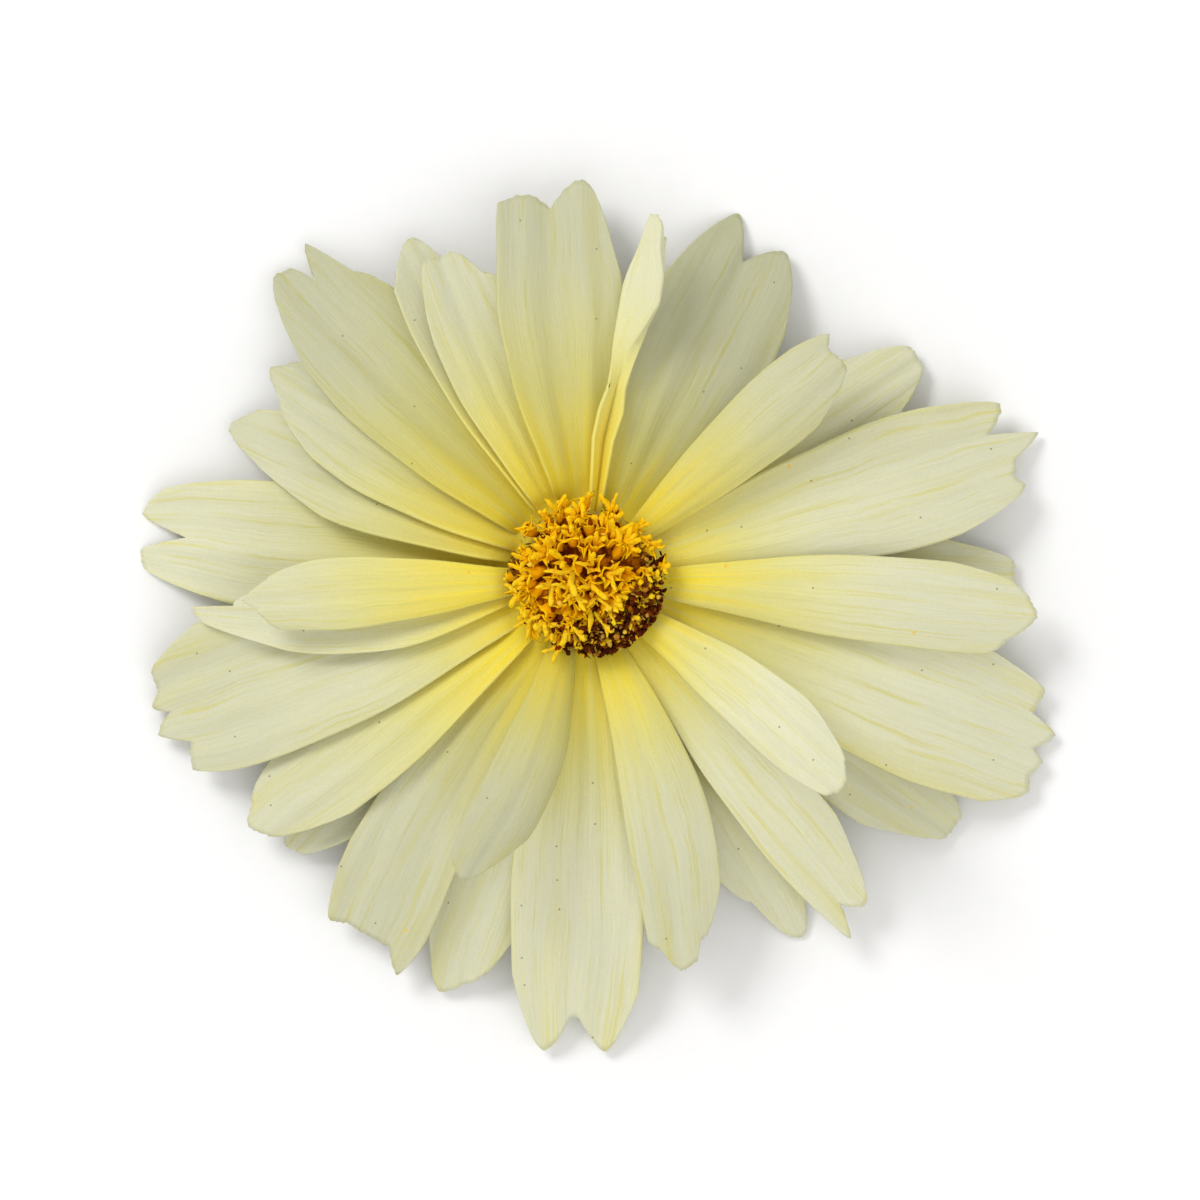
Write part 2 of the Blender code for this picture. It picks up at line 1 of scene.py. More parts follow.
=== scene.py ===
# %% [markdown]
# # A coreopsis flower head, picked and laid face up
# This lesson dresses the solid model of one cream coreopsis (tickseed) head. The solids give its
# size and its collision shape. Here every petal gets its real thinness, veins and colours, and the
# little disc in the middle gets its tubes, anthers and forked styles.
# The packed model is loaded first, so that every new piece can be made in the same place.

# %% The packed model
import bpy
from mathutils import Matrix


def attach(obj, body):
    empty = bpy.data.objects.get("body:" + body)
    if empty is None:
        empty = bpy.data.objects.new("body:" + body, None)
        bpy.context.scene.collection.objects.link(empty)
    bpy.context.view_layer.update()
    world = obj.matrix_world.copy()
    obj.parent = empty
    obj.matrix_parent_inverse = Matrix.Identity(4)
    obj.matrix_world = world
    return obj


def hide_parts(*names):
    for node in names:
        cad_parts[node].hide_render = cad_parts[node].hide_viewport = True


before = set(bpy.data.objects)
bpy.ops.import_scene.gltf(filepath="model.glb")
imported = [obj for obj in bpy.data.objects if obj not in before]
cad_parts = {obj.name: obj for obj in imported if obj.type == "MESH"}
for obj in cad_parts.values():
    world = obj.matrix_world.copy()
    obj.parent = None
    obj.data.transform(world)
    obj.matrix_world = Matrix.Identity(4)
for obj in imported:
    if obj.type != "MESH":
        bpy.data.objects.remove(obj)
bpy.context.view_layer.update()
print("solids:", ", ".join(sorted(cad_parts)))

# %% [markdown]
# ## Tools and units
# Blender counts in metres and a flower is measured in millimetres, so sizes are written in
# millimetres and multiplied by `MM` where they go into a mesh. Heights are above the table, and
# the places of petals and florets are measured from the disc's axis.

# %% Tools and units
import math
from collections import namedtuple

import bmesh
import bpy
import numpy as np
from mathutils import Matrix, Vector, noise

MM = 0.001
DISC_X = -0.72
DISC_Y = 2.58
print("the disc's axis stands at", DISC_X, DISC_Y, "mm")

# %% [markdown]
# ## The camera
# The flower was photographed from straight above. A long lens high above the table gives nearly
# the same size to the raised petals and to those that touch the table. The picture's scale and
# the pixel where the disc stands say how wide the view is and over which point the camera hangs.

# %% Camera
PICTURE_WIDTH = 1200
PIXELS_PER_MM = 15.25
DISC_PIXEL = (587, 577)
CAMERA_HEIGHT = 800 * MM
PETAL_LEVEL = 4 * MM
NEAREST = 0.05
FARTHEST = 5.0
SENSOR = 36.0

middle = PICTURE_WIDTH / 2
camera_data = bpy.data.cameras.new("overhead")
camera_data.sensor_width = SENSOR
camera_data.lens = SENSOR * (CAMERA_HEIGHT - PETAL_LEVEL) / (PICTURE_WIDTH / PIXELS_PER_MM * MM)
camera_data.clip_start = NEAREST
camera_data.clip_end = FARTHEST
camera = bpy.data.objects.new("overhead", camera_data)
bpy.context.scene.collection.objects.link(camera)
camera.location = ((DISC_X + (middle - DISC_PIXEL[0]) / PIXELS_PER_MM) * MM,
                   (DISC_Y + (DISC_PIXEL[1] - middle) / PIXELS_PER_MM) * MM, CAMERA_HEIGHT)
bpy.context.scene.camera = camera
print("lens", round(camera_data.lens, 1), "mm")

# %% [markdown]
# ## Shader sums written as sums
# A petal's colour is a sum of many soft patterns. Added node by node, such a sum is long and hard
# to read. The class `Pattern` holds one output of a node, and its + - * / and abs add Math nodes.
# The class `Finish` is one material, with one method that adds any other kind of node.

# %% Pattern and Finish
class Pattern:
    """One number, vector or colour on its way through a material's nodes."""

    def __init__(self, finish, socket):
        self.finish = finish
        self.socket = socket

    def __add__(self, other):
        return self.finish.sum_up("ADD", self, other)

    def __sub__(self, other):
        return self.finish.sum_up("SUBTRACT", self, other)

    def __rsub__(self, other):
        return self.finish.sum_up("SUBTRACT", other, self)

    def __mul__(self, other):
        return self.finish.sum_up("MULTIPLY", self, other)

    def __truediv__(self, other):
        return self.finish.sum_up("DIVIDE", self, other)

    def __rtruediv__(self, other):
        return self.finish.sum_up("DIVIDE", other, self)

    def __abs__(self):
        return self.finish.node("Math", {"operation": "ABSOLUTE"}, {0: self})

    __radd__ = __add__
    __rmul__ = __mul__


class Finish:
    """A material: the nodes that give a piece its colour, gloss and relief."""

    def __init__(self, name, constants):
        self.material = bpy.data.materials.new(name)
        self.material.use_nodes = True
        self.tree = self.material.node_tree
        self.shader = self.tree.nodes["Principled BSDF"]
        for socket, value in constants.items():
            self.shader.inputs[socket].default_value = value

    def node(self, kind, settings, sockets, output=0):
        """Add a node: its settings first, then the values or links of its sockets."""
        node = self.tree.nodes.new("ShaderNode" + kind)
        for name, value in settings.items():
            if name == "stops":
                self.set_stops(node.color_ramp, value)
            else:
                setattr(node, name, value)
        for name, value in sockets.items():
            self.feed(node.inputs[name], value)
        return Pattern(self, node.outputs[output])

    def set_stops(self, ramp, stops):
        """Give a colour ramp its stops, each a place and a colour."""
        while len(ramp.elements) < len(stops):
            ramp.elements.new(1.0)
        for element, (place, color) in zip(ramp.elements, stops):
            element.position = place
            element.color = color

    def feed(self, socket, value):
        """Link a pattern to a socket, or set the socket's own value."""
        if isinstance(value, Pattern):
            self.tree.links.new(value.socket, socket)
        else:
            socket.default_value = value

    def sum_up(self, operation, first, second):
        return self.node("Math", {"operation": operation}, {0: first, 1: second})

    def rise(self, value, low, high, start=0.0, end=1.0):
        """A soft step of the value, from start at low to end at high."""
        sockets = {"Value": value, "From Min": low, "From Max": high, "To Min": start,
                   "To Max": end}
        return self.node("MapRange", {"interpolation_type": "SMOOTHSTEP"}, sockets)

    def mix(self, share, first, second, blend="MIX"):
        """A colour between two colours."""
        settings = {"data_type": "RGBA", "blend_type": blend}
        return self.node("Mix", settings, {0: share, 6: first, 7: second}, output=2)

    def noise(self, place, scale, detail=2.0):
        return self.node("TexNoise", {}, {"Vector": place, "Scale": scale, "Detail": detail})

    def vector(self, x, y, z):
        return self.node("CombineXYZ", {}, {"X": x, "Y": y, "Z": z})

    def object_place(self):
        """Where the point is on the model, in metres."""
        return self.node("TexCoord", {}, {}, output=3)

    def kept(self, attribute):
        """A number that the mesh keeps for each of its points."""
        return self.node("Attribute", {"attribute_name": attribute}, {}, output=2)

    def bump(self, height, distance, strength=1.0):
        return self.node("Bump", {}, {"Height": height, "Distance": distance, "Strength": strength})

    def finish_with(self, sockets):
        """Feed the shader what varies over the surface, and hand over the material."""
        for name, value in sockets.items():
            self.feed(self.shader.inputs[name], value)
        return self.material


print("a finish offers:", ", ".join(name for name in vars(Finish) if not name.startswith("_")))

# %% [markdown]
# ## Floor and light
# The photograph's flower is cut out on white. Its shadows fall to the lower right, yet its lower
# right petals are the brightest, so its light came from two sides. A pale sky lights everything.
# A small soft lamp on the upper left draws the short shadows, and a broad one on the lower right
# softens them and lifts the petals that face it. The floor and the lamps are given in metres.
# The Standard view keeps pale cream as it is, where the default view would grey it.

# %% Floor, sky and lamps
FLOOR_SIZE = 4.0
SKY_COLOR = (1.0, 0.99, 0.98)
SKY_STRENGTH = 0.62
FLOOR_GREY = (0.93, 0.93, 0.93, 1)
FLOOR_WHITE = (0.96, 0.96, 0.96, 1)
Lamp = namedtuple("Lamp", "name place size power")
LAMPS = [
    Lamp("upper_left_lamp", Vector((-0.46, 0.46, 0.64)), 0.38, 3.5),
    Lamp("lower_right_lamp", Vector((0.30, -0.52, 0.86)), 1.30, 3.6),
]

floor_bm = bmesh.new()
bmesh.ops.create_grid(floor_bm, x_segments=1, y_segments=1, size=FLOOR_SIZE / 2)
floor_mesh = bpy.data.meshes.new("floor")
floor_bm.to_mesh(floor_mesh)
floor_bm.free()
floor = bpy.data.objects.new("floor", floor_mesh)
bpy.context.scene.collection.objects.link(floor)
floor_finish = Finish("floor_paper", {"Roughness": 0.9, "Specular IOR Level": 0.1})
floor_grain = floor_finish.noise(floor_finish.object_place(), scale=900.0, detail=3.0)
floor_color = floor_finish.mix(floor_grain, FLOOR_GREY, FLOOR_WHITE)
floor_mesh.materials.append(floor_finish.finish_with({"Base Color": floor_color}))

world = bpy.data.worlds.new("sky")
world.use_nodes = True
world.node_tree.nodes["Background"].inputs["Color"].default_value = (*SKY_COLOR, 1)
world.node_tree.nodes["Background"].inputs["Strength"].default_value = SKY_STRENGTH
bpy.context.scene.world = world

for lamp in LAMPS:
    lamp_data = bpy.data.lights.new(lamp.name, "AREA")
    lamp_data.shape = "DISK"
    lamp_data.size = lamp.size
    lamp_data.energy = lamp.power
    lamp_object = bpy.data.objects.new(lamp.name, lamp_data)
    lamp_object.location = lamp.place
    lamp_object.rotation_euler = lamp.place.to_track_quat("Z", "Y").to_euler()
    bpy.context.scene.collection.objects.link(lamp_object)
    print(lamp.name, round(lamp.place.length, 2), "m away")
bpy.context.scene.view_settings.view_transform = "Standard"

# %% [markdown]
# ## What every petal is like
# A coreopsis petal is a ray floret: a strap with a narrow claw at the disc, widest past its
# middle, and cut into teeth at its tip. One table holds all 29. Their outlines were measured on
# the photograph from the disc's axis; their heights can't be seen from above and are estimates.
# The lowest petal comes first, and each one lies over those before it.
# Three columns are for the colour and were judged on the photograph: how far the yellow of the
# base runs out, how much painted shade darkens the whole petal, and how much painted shade darkens
# its left half (above 0) or its right half (below 0).

# %% The table of petals
Ray = namedtuple("Ray", "azimuth reach width widest shoulder bow channel tip arch yellow grey "
                 "olive teeth")

RAYS = [
    Ray(174.2, 29.5, 8.6, 0.60, 0.68, 0.0, 0.3, 0.0, 1.6, 0.62, 0.00, 0.00,
        ((1, 6.0), (0.78, 0.4), (0.4, 0.1), (0.03, 3.0), (-0.42, 0.0), (-0.88, 1.0), (-1, 5.5))),
    Ray(157.3, 25.5, 6.2, 0.66, 0.68, 0.0, 0.3, 1.2, 1.4, 0.62, 0.34, 0.10,
        ((1, 8.0), (0.0, 0.0), (-0.66, 1.2), (-1, 5.5))),
    Ray(147.5, 24.9, 6.6, 0.62, 0.62, 0.0, 0.3, 2.0, 1.6, 0.64, 0.40, -0.15,
        ((1, 5.5), (0.41, 1.7), (-0.2, 0.0), (-0.5, 0.8), (-1, 4.0))),
    Ray(133.8, 28.6, 8.2, 0.64, 0.80, 0.0, 0.3, 0.8, 1.8, 0.62, 0.74, -0.50,
        ((1, 6.3), (0.32, 0.1), (0.0, 0.5), (-0.16, 2.2), (-0.56, 0.0), (-0.74, 3.6), (-1, 6.0))),
    Ray(117.7, 25.1, 5.6, 0.66, 0.75, 0.0, 0.3, 1.6, 1.4, 0.70, 0.40, -0.20,
        ((1, 2.6), (-0.04, 0.0), (-1, 8.0))),
    Ray(114.0, 23.2, 6.0, 0.68, 0.78, 0.0, 0.3, 4.0, 1.2, 0.70, 0.35, -0.20,
        ((1, 5.2), (0.58, 0.0), (0.15, 0.2), (-0.25, 0.1), (-0.7, 2.3), (-1, 3.2))),
    Ray(94.7, 26.0, 8.2, 0.68, 0.88, 0.3, 0.4, 3.0, 1.6, 0.64, 0.64, -0.25,
        ((1, 1.1), (0.5, 0.7), (0.1, 1.8), (-0.5, 0.0), (-1, 6.6))),
    Ray(63.2, 25.8, 9.1, 0.66, 0.82, 0.0, 0.4, 0.0, 1.6, 0.42, 0.85, 0.20,
        ((1, 5.6), (0.5, 0.0), (0.05, 2.8), (-0.5, 0.9), (-1, 5.8))),
    Ray(79.8, 24.1, 2.9, 0.75, 0.75, 0.0, 2.2, 7.0, 0.8, 0.74, 0.00, 0.00,
        ((1, 5.0), (0.5, 0.0), (-0.55, 1.6), (-1, 1.4))),
    Ray(33.6, 26.2, 6.0, 0.70, 0.80, 0.0, 0.3, 0.4, 1.4, 0.50, 0.12, -0.30,
        ((1, 6.5), (0.3, 0.1), (-0.2, 0.1), (-1, 4.5))),
    Ray(0.5, 28.2, 5.3, 0.70, 0.70, 0.0, 0.3, 1.0, 1.4, 0.38, 0.00, 0.00,
        ((1, 6.5), (0.4, 0.1), (-0.4, 0.1), (-1, 2.5))),
    Ray(16.6, 31.1, 8.8, 0.72, 0.70, 0.0, 0.4, 0.8, 1.8, 0.36, 0.14, 0.35,
        ((1, 7.0), (0.87, 1.8), (0.36, 3.2), (0.2, 0.0), (-0.15, 1.8), (-0.42, 2.4), (-0.68, 1.8),
         (-1, 6.8))),
    Ray(41.2, 22.3, 5.0, 0.74, 0.85, 0.0, -0.5, 9.0, 0.6, 0.66, 0.50, -0.40,
        ((1, 2.4), (0.7, 0.0), (0.39, 0.75), (-0.3, 0.5), (-1, 4.6))),
    Ray(-34.6, 29.3, 6.4, 0.70, 0.70, 0.0, 0.3, 1.0, 1.6, 0.40, 0.25, 0.00,
        ((1, 4.0), (0.42, 0.1), (-0.25, 0.1), (-1, 5.5))),
    Ray(-20.6, 32.5, 10.0, 0.74, 0.84, 0.0, 0.4, 0.8, 2.0, 0.44, 0.00, -0.35,
        ((1, 7.0), (0.8, 1.7), (0.42, 1.9), (0.26, 0.0), (-0.06, 1.1), (-0.21, 0.2), (-0.47, 0.7),
         (-0.67, 0.4), (-1, 3.0))),
    Ray(-5.0, 29.6, 5.8, 0.70, 0.88, 0.2, -0.2, 4.0, 1.2, 0.50, 0.02, -0.40,
        ((1, 6.0), (0.7, 1.4), (0.3, 0.4), (0.1, 0.0), (-0.66, 1.9), (-1, 3.2))),
    Ray(-60.0, 27.6, 5.3, 0.68, 0.70, 0.0, 0.3, 0.0, 1.6, 0.50, 0.00, 0.20,
        ((1, 4.2), (0.26, 0.0), (-0.25, 0.8), (-0.54, 3.8), (-1, 6.6))),
    Ray(-50.4, 29.3, 5.3, 0.66, 0.80, 0.0, 0.4, 2.4, 1.6, 0.36, 0.00, 0.00,
        ((1, 7.0), (0.17, 1.1), (-0.4, 2.2), (-0.88, 0.0), (-1, 4.0))),
    Ray(-38.5, 21.5, 4.6, 0.70, 0.75, 0.5, -0.5, 12.5, 0.6, 0.46, 0.00, 0.00,
        ((1, 5.5), (0.47, 0.9), (-0.2, 0.0), (-0.8, 0.5), (-1, 4.0))),
    Ray(-108.0, 28.9, 7.0, 0.70, 0.80, 0.0, 0.3, 1.0, 1.6, 0.46, 0.20, 0.00,
        ((1, 7.0), (0.2, 1.0), (-0.27, 0.0), (-1, 6.5))),
    Ray(-91.6, 31.2, 8.8, 0.66, 0.77, 0.0, 0.4, 1.0, 1.8, 0.43, 0.00, -0.20,
        ((1, 4.0), (0.6, 0.1), (0.07, 2.3), (-0.07, 2.3), (-0.6, 0.0), (-1, 5.0))),
    Ray(-75.3, 26.5, 5.6, 0.68, 0.76, 1.1, -0.3, 4.5, 1.2, 0.48, 0.34, 0.25,
        ((1, 5.0), (0.37, 1.6), (0.25, 0.4), (-0.2, 0.0), (-0.75, 1.8), (-1, 2.4))),
    Ray(-136.4, 26.5, 5.4, 0.70, 0.75, 0.0, 0.3, 1.0, 1.4, 0.50, 0.15, 0.00,
        ((1, 7.0), (0.06, 0.4), (-0.46, 0.0), (-1, 2.0))),
    Ray(-121.3, 28.8, 7.4, 0.86, 0.94, -1.0, 0.4, 1.8, 1.6, 0.48, 0.45, 0.25,
        ((1, 2.5), (0.85, 0.0), (0.5, 1.3), (-0.45, 1.2), (-0.77, 0.8), (-1, 6.0))),
    Ray(-143.0, 27.6, 6.2, 0.72, 0.76, 0.0, -0.2, 2.2, 1.4, 0.68, 0.20, -0.20,
        ((1, 6.0), (0.3, 0.6), (-0.15, 0.0), (-0.5, 1.1), (-1, 4.0))),
    Ray(-162.1, 30.0, 10.0, 0.74, 0.84, 0.0, 0.4, 1.6, 1.8, 0.38, 0.33, 0.15,
        ((1, 4.2), (0.9, 1.5), (0.5, 1.9), (0.29, 0.0), (0.0, 1.2), (-0.13, 0.2), (-0.37, 0.9),
         (-0.62, 0.8), (-1, 4.6))),
    Ray(-175.5, 26.0, 5.6, 0.50, 0.50, 1.0, 0.3, 4.0, 1.2, 0.42, 0.08, 0.00,
        ((1, 6.0), (0.5, 0.5), (-0.05, 0.0), (-0.15, 2.8), (-1, 8.0))),
    Ray(-176.2, 22.5, 4.6, 0.70, 0.68, 0.0, -0.4, 9.5, 0.6, 0.82, 0.18, 0.15,
        ((1, 2.3), (0.3, 0.9), (0.1, 0.0), (-0.61, 1.7), (-1, 4.6))),
    Ray(-112.3, 21.2, 4.4, 0.66, 0.75, 1.1, -0.6, 12.0, 0.6, 0.56, 0.74, 0.50,
        ((1, 4.0), (0.04, 0.0), (-0.63, 0.7), (-1, 3.5))),
]
print(len(RAYS), "petals")

# %% [markdown]
# ## A petal seen from above
# `half_width` swells from the claw and draws in to the tip. `tip_cut` says how far the toothed
# edge falls short of the petal's reach. The solids have pointed teeth. On the fine petals a tooth
# is rounder the broader it is, as in the photograph. `plan_point` turns a share of the way along
# and a place across (1 at the left edge, -1 at the right) into a place on the table, and `locate`
# goes back.

# %% Outline of a petal
CLAW_START = 3.4
CLAW_SHARE = 0.27
SWELL_POWER = 1.2
DRAW_IN_POWER = 2
TOOTH_POWER = 1.2
SHOULDER_POWER = 2
TOOTH_ROUNDING = 1.1


def half_width(ray, along):
    rise = np.sin(0.5 * math.pi * np.clip(along / ray.widest, 0, 1)) ** SWELL_POWER
    fall = np.clip((along - ray.widest) / (1 - ray.widest), 0, 1) ** DRAW_IN_POWER
    return 0.5 * ray.width * (CLAW_SHARE + (1 - CLAW_SHARE) * rise - (1 - ray.shoulder) * fall)


def tip_cut(ray, across, rounding=0.0):
    across = np.asarray(across, float)
    cut = np.zeros_like(across)
    for (left, left_cut), (right, right_cut) in zip(ray.teeth, ray.teeth[1:]):
        share = np.clip((across - right) / (left - right), 0, 1)
        from_peak = share if left_cut > right_cut else 1 - share
        power = TOOTH_POWER + rounding * (left - right)
        if left == 1 or right == -1:
            power = SHOULDER_POWER
        curve = min(left_cut, right_cut) + abs(left_cut - right_cut) * from_peak ** power
        cut = np.where((across <= left) & (across >= right), curve, cut)
    return cut


def end_share(ray, across, rounding=0.0):
    return 1 - tip_cut(ray, across, rounding) / (ray.reach - CLAW_START)


def plan_point(ray, along, across):
    out = CLAW_START + (ray.reach - CLAW_START) * along
    side = across * half_width(ray, along) + ray.bow * np.sin(math.pi * along)
    turn = math.radians(ray.azimuth)
    x = out * math.cos(turn) - side * math.sin(turn)
    y = out * math.sin(turn) + side * math.cos(turn)
    return x, y


def locate(ray, x, y):
    turn = math.radians(ray.azimuth)
    out = x * math.cos(turn) + y * math.sin(turn)
    side = y * math.cos(turn) - x * math.sin(turn)
    along = (out - CLAW_START) / (ray.reach - CLAW_START)
    inside = np.clip(along, 0, 1)
    return along, (side - ray.bow * np.sin(math.pi * inside)) / half_width(ray, inside)


print("widest petal", max(ray.width for ray in RAYS), "mm")

# %% [markdown]
# ## Laying the petals on each other
# Each petal has a free shape: a gentle arch from its claw to its tip, channelled across, with a
# small twist and wave of its own. `LaidRay` holds it, and later how far each edge is lifted. The
# solids were laid by the same rule with the same seed, so each fine petal lies where its solid
# does.

# %% Free shape of a petal
BLADE = 0.6
BLADE_STEP = 0.75
CLAW_LOW = 8.0
CLAW_HIGH = 8.8
HIGH_TIP = 9.0
TWIST = 0.35
WAVE = 0.25
WAVE_TURN = 5.5
RAY_SEED = 29
CHANNEL_OPEN = 0.25
CHANNEL_MIDDLE = 0.3
LAY_ROWS = 31
LAY_SHARES = np.linspace(0, 1, LAY_ROWS)
LAY_PLACES = np.linspace(-1, 1, 13)


class LaidRay:
    """A petal with the heights of its middle surface, and what its two edges are lifted by."""

    def __init__(self, ray, draw):
        self.ray = ray
        self.claw_height = CLAW_LOW + (CLAW_HIGH - CLAW_LOW) * min(ray.tip / HIGH_TIP, 1)
        self.twist = draw.uniform(-TWIST, TWIST)
        self.wave = draw.uniform(0.4, 1.0) * WAVE
        self.phase = draw.uniform(0, 2 * math.pi)
        self.drop = 0.0
        self.lifts = np.zeros((LAY_ROWS, 2))

    def free_height(self, along, across):
        ray = self.ray
        middle = self.claw_height + (ray.tip - self.claw_height) * along
        middle = middle + ray.arch * np.sin(math.pi * along)
        opened = np.sin(0.5 * math.pi * np.clip(along / CHANNEL_OPEN, 0, 1))
        cup = ray.channel * (across ** 2 - CHANNEL_MIDDLE) * opened
        sway = self.twist * across * along
        sway = sway + self.wave * along * np.sin(WAVE_TURN * along + self.phase)
        return middle + cup + sway

    def height(self, along, across):
        left = np.interp(along, LAY_SHARES, self.lifts[:, 0]) * (1 + across) / 2
        right = np.interp(along, LAY_SHARES, self.lifts[:, 1]) * (1 - across) / 2
        return self.free_height(along, across) + left + right - self.drop * along


print(LAY_ROWS * len(LAY_PLACES), "samples on each petal")

# %% [markdown]
# ## Where petals meet
# Where one petal covers another, a sample of the upper one must lie a small step higher than the
# lower one. `meetings` lists every such sample, and how clear the free shapes are of each other
# there. Close to the disc the claws grow from one base, so they may touch.

# %% Where petals meet
CLAW_CLEAR = 5.6


def meetings(laid):
    """Every sampled place where one petal covers another, and the clearance there when unlaid."""
    along, across = np.meshgrid(LAY_SHARES, LAY_PLACES, indexing="ij")
    rows = np.broadcast_to(np.arange(LAY_ROWS)[:, None], along.shape)
    found = []
    for over, upper in enumerate(laid):
        x, y = plan_point(upper.ray, along, across)
        own = upper.free_height(along, across)
        for under, lower in enumerate(laid[:over]):
            there, place = locate(lower.ray, x, y)
            covers = (np.abs(place) < 1) & (there > 0) & (np.hypot(x, y) > CLAW_CLEAR)
            covers &= there < end_share(lower.ray, np.clip(place, -1, 1))
            covers &= along < end_share(upper.ray, across)
            there = there[covers]
            place = place[covers]
            clear = own[covers] - lower.free_height(there, place) - BLADE_STEP
            count = len(clear)
            found.append((np.full(count, over), rows[covers], across[covers],
                          np.full(count, under), there * (LAY_ROWS - 1), place, clear))
    return [np.concatenate(column) for column in zip(*found)]


print("claws may touch within", CLAW_CLEAR, "mm of the disc's axis")

# %% [markdown]
# ## Pushing the edges apart
# The edges of two petals that meet are pushed apart a little at a time, the upper one up and the
# lower one down, until every sample is clear, so neither cuts through the other. Each turn also
# smooths the lifts, so that a petal bends softly, and holds it above the table and the bracts.
# The petals that touch the table come to rest on it last.

# %% Pushing the edges apart
LAY_TURNS = 400
LAY_PUSH = 0.6
LAY_GROUND_PUSH = 0.5
LAY_SMOOTHING = 0.1
CLAW_HELD = 0.07
BRACT_REACH = 7.2
BRACT_CLEAR = 7.1
TABLE_CLEAR = 0.6


def ground_below(laid):
    """How far the table or the bracts push each petal up, at each sample."""
    along, across = np.meshgrid(LAY_SHARES, LAY_PLACES, indexing="ij")
    ground = []
    for ray in laid:
        radius = np.hypot(*plan_point(ray.ray, along, across))
        table = 0.0 if ray.ray.tip == 0 else TABLE_CLEAR
        level = np.where(radius < BRACT_REACH, BRACT_CLEAR, table) + BLADE / 2
        ground.append(level - ray.free_height(along, across))
    return np.array(ground)


def settle(laid):
    over, row, across, under, there, place, clear = meetings(laid)
    step = np.minimum(there.astype(int), LAY_ROWS - 2)
    part = there - step
    edges = [(over, row, 0, (1 + across) / 2), (over, row, 1, (1 - across) / 2)]
    for side, weight in ((0, (1 + place) / 2), (1, (1 - place) / 2)):
        edges.append((under, step, side, -weight * (1 - part)))
        edges.append((under, step + 1, side, -weight * part))
    ground = ground_below(laid)
    lifts = np.zeros((len(laid), LAY_ROWS, 2))
    for turn in range(LAY_TURNS):
        gap = clear.copy()
        for index, index_row, side, weight in edges:
            gap += weight * lifts[index, index_row, side]
        short = np.clip(-gap, 0, None)
        push = np.zeros_like(lifts)
        share = np.full_like(lifts, 1e-6)
        for index, index_row, side, weight in edges:
            np.add.at(push, (index, index_row, side), short * weight)
            np.add.at(share, (index, index_row, side), (short > 0) * np.abs(weight))
        lifts += LAY_PUSH * push / share
        level = lifts[:, :, :1] * (1 + LAY_PLACES) / 2 + lifts[:, :, 1:] * (1 - LAY_PLACES) / 2
        lifts += np.clip(ground - level, 0, None).max(axis=2)[:, :, None] * LAY_GROUND_PUSH
        beside = np.pad(lifts, ((0, 0), (1, 1), (0, 0)), mode="edge")
        lifts += LAY_SMOOTHING * (beside[:, :-2] + beside[:, 2:] - 2 * lifts)
        lifts[:, LAY_SHARES < CLAW_HELD, :] = 0
    for ray, ray_lifts in zip(laid, lifts):
        ray.lifts = ray_lifts


def lay_rays():
    draw = np.random.default_rng(RAY_SEED)
    laid = [LaidRay(ray, draw) for ray in RAYS]
    settle(laid)
    outer_half, across = np.meshgrid(LAY_SHARES[LAY_ROWS // 2:], LAY_PLACES, indexing="ij")
    for ray in laid:
        if ray.ray.tip == 0:
            along = outer_half * end_share(ray.ray, across)
            ray.drop = ((ray.height(along, across) - BLADE / 2) / along).min()
    return laid


laid_rays = lay_rays()
print("highest tip", round(max(float(laid.height(1.0, 0.0)) for laid in laid_rays), 1), "mm")

# %% [markdown]
# ## Relief of a petal
# A real petal isn't a smooth strap. Shallow pleats run along it, a groove leads down from each
# notch between two teeth, and its edges sway a little. The relief is a sum of such waves, drawn
# from the petal's own seed so that no two petals match, and it fades out at the claw.

# %% Pleats, grooves and sway
PLEAT_DEPTH = 0.13
PLEATS = (1.4, 2.5, 4.3)
PLEATED_WIDTH = 8.0
PLEATS_RISE = (0.03, 0.3)
GROOVE_DEPTH = 0.15
GROOVE_WIDTH = 0.13
GROOVES_RISE = (0.3, 0.95)
SWAY_DEPTH = 0.16
SWAY_RISE = (0.25, 0.7)


def fade_in(value, low, high):
    """A soft step from 0 at low to 1 at high."""
    share = np.clip((value - low) / (high - low), 0, 1)
    return share * share * (3 - 2 * share)


def notches(ray):
    """Places across where two teeth meet."""
    cuts = ray.teeth
    inner = zip(cuts, cuts[1:], cuts[2:])
    return [here[0] for left, here, right in inner if here[1] > left[1] and here[1] > right[1]]


def relief(laid, draw, along, across):
    """What is added to the height of the laid petal, in millimetres."""
    height = np.zeros_like(along)
    for count in PLEATS:
        phase = draw.uniform(0, 2 * math.pi)
        strength = draw.uniform(0.5, 1.2) * PLEAT_DEPTH * PLEATS[0] / count
        strength *= laid.ray.width / PLEATED_WIDTH
        bend = draw.uniform(-0.5, 0.5)
        height += strength * np.cos(math.pi * count * across + phase + bend * along)
    height *= fade_in(along, *PLEATS_RISE)
    for notch in notches(laid.ray):
        groove = np.exp(-((across - notch) / GROOVE_WIDTH) ** 2)
        height -= GROOVE_DEPTH * groove * fade_in(along, *GROOVES_RISE)
    for edge in (-1, 1):
        phase = draw.uniform(0, 2 * math.pi)
        waves = draw.uniform(5, 9)
        near = np.clip(edge * across, 0, 1) ** 2
        height += SWAY_DEPTH * near * np.sin(waves * along + phase) * fade_in(along, *SWAY_RISE)
    return height


print("notches of the first petal at", notches(RAYS[0]))

# %% [markdown]
# ## The folded petal
# One petal at the top is folded along its midrib and turned. Near the disc it is a valley with
# both its halves standing up. Further out it has turned over to a ridge: its left half lies open
# to the light and its right half hangs down behind. A table follows its left edge, its midrib and
# its right edge outwards. The sideways places were measured on the photograph; the rises are
# estimates from how light and dark the two halves are.

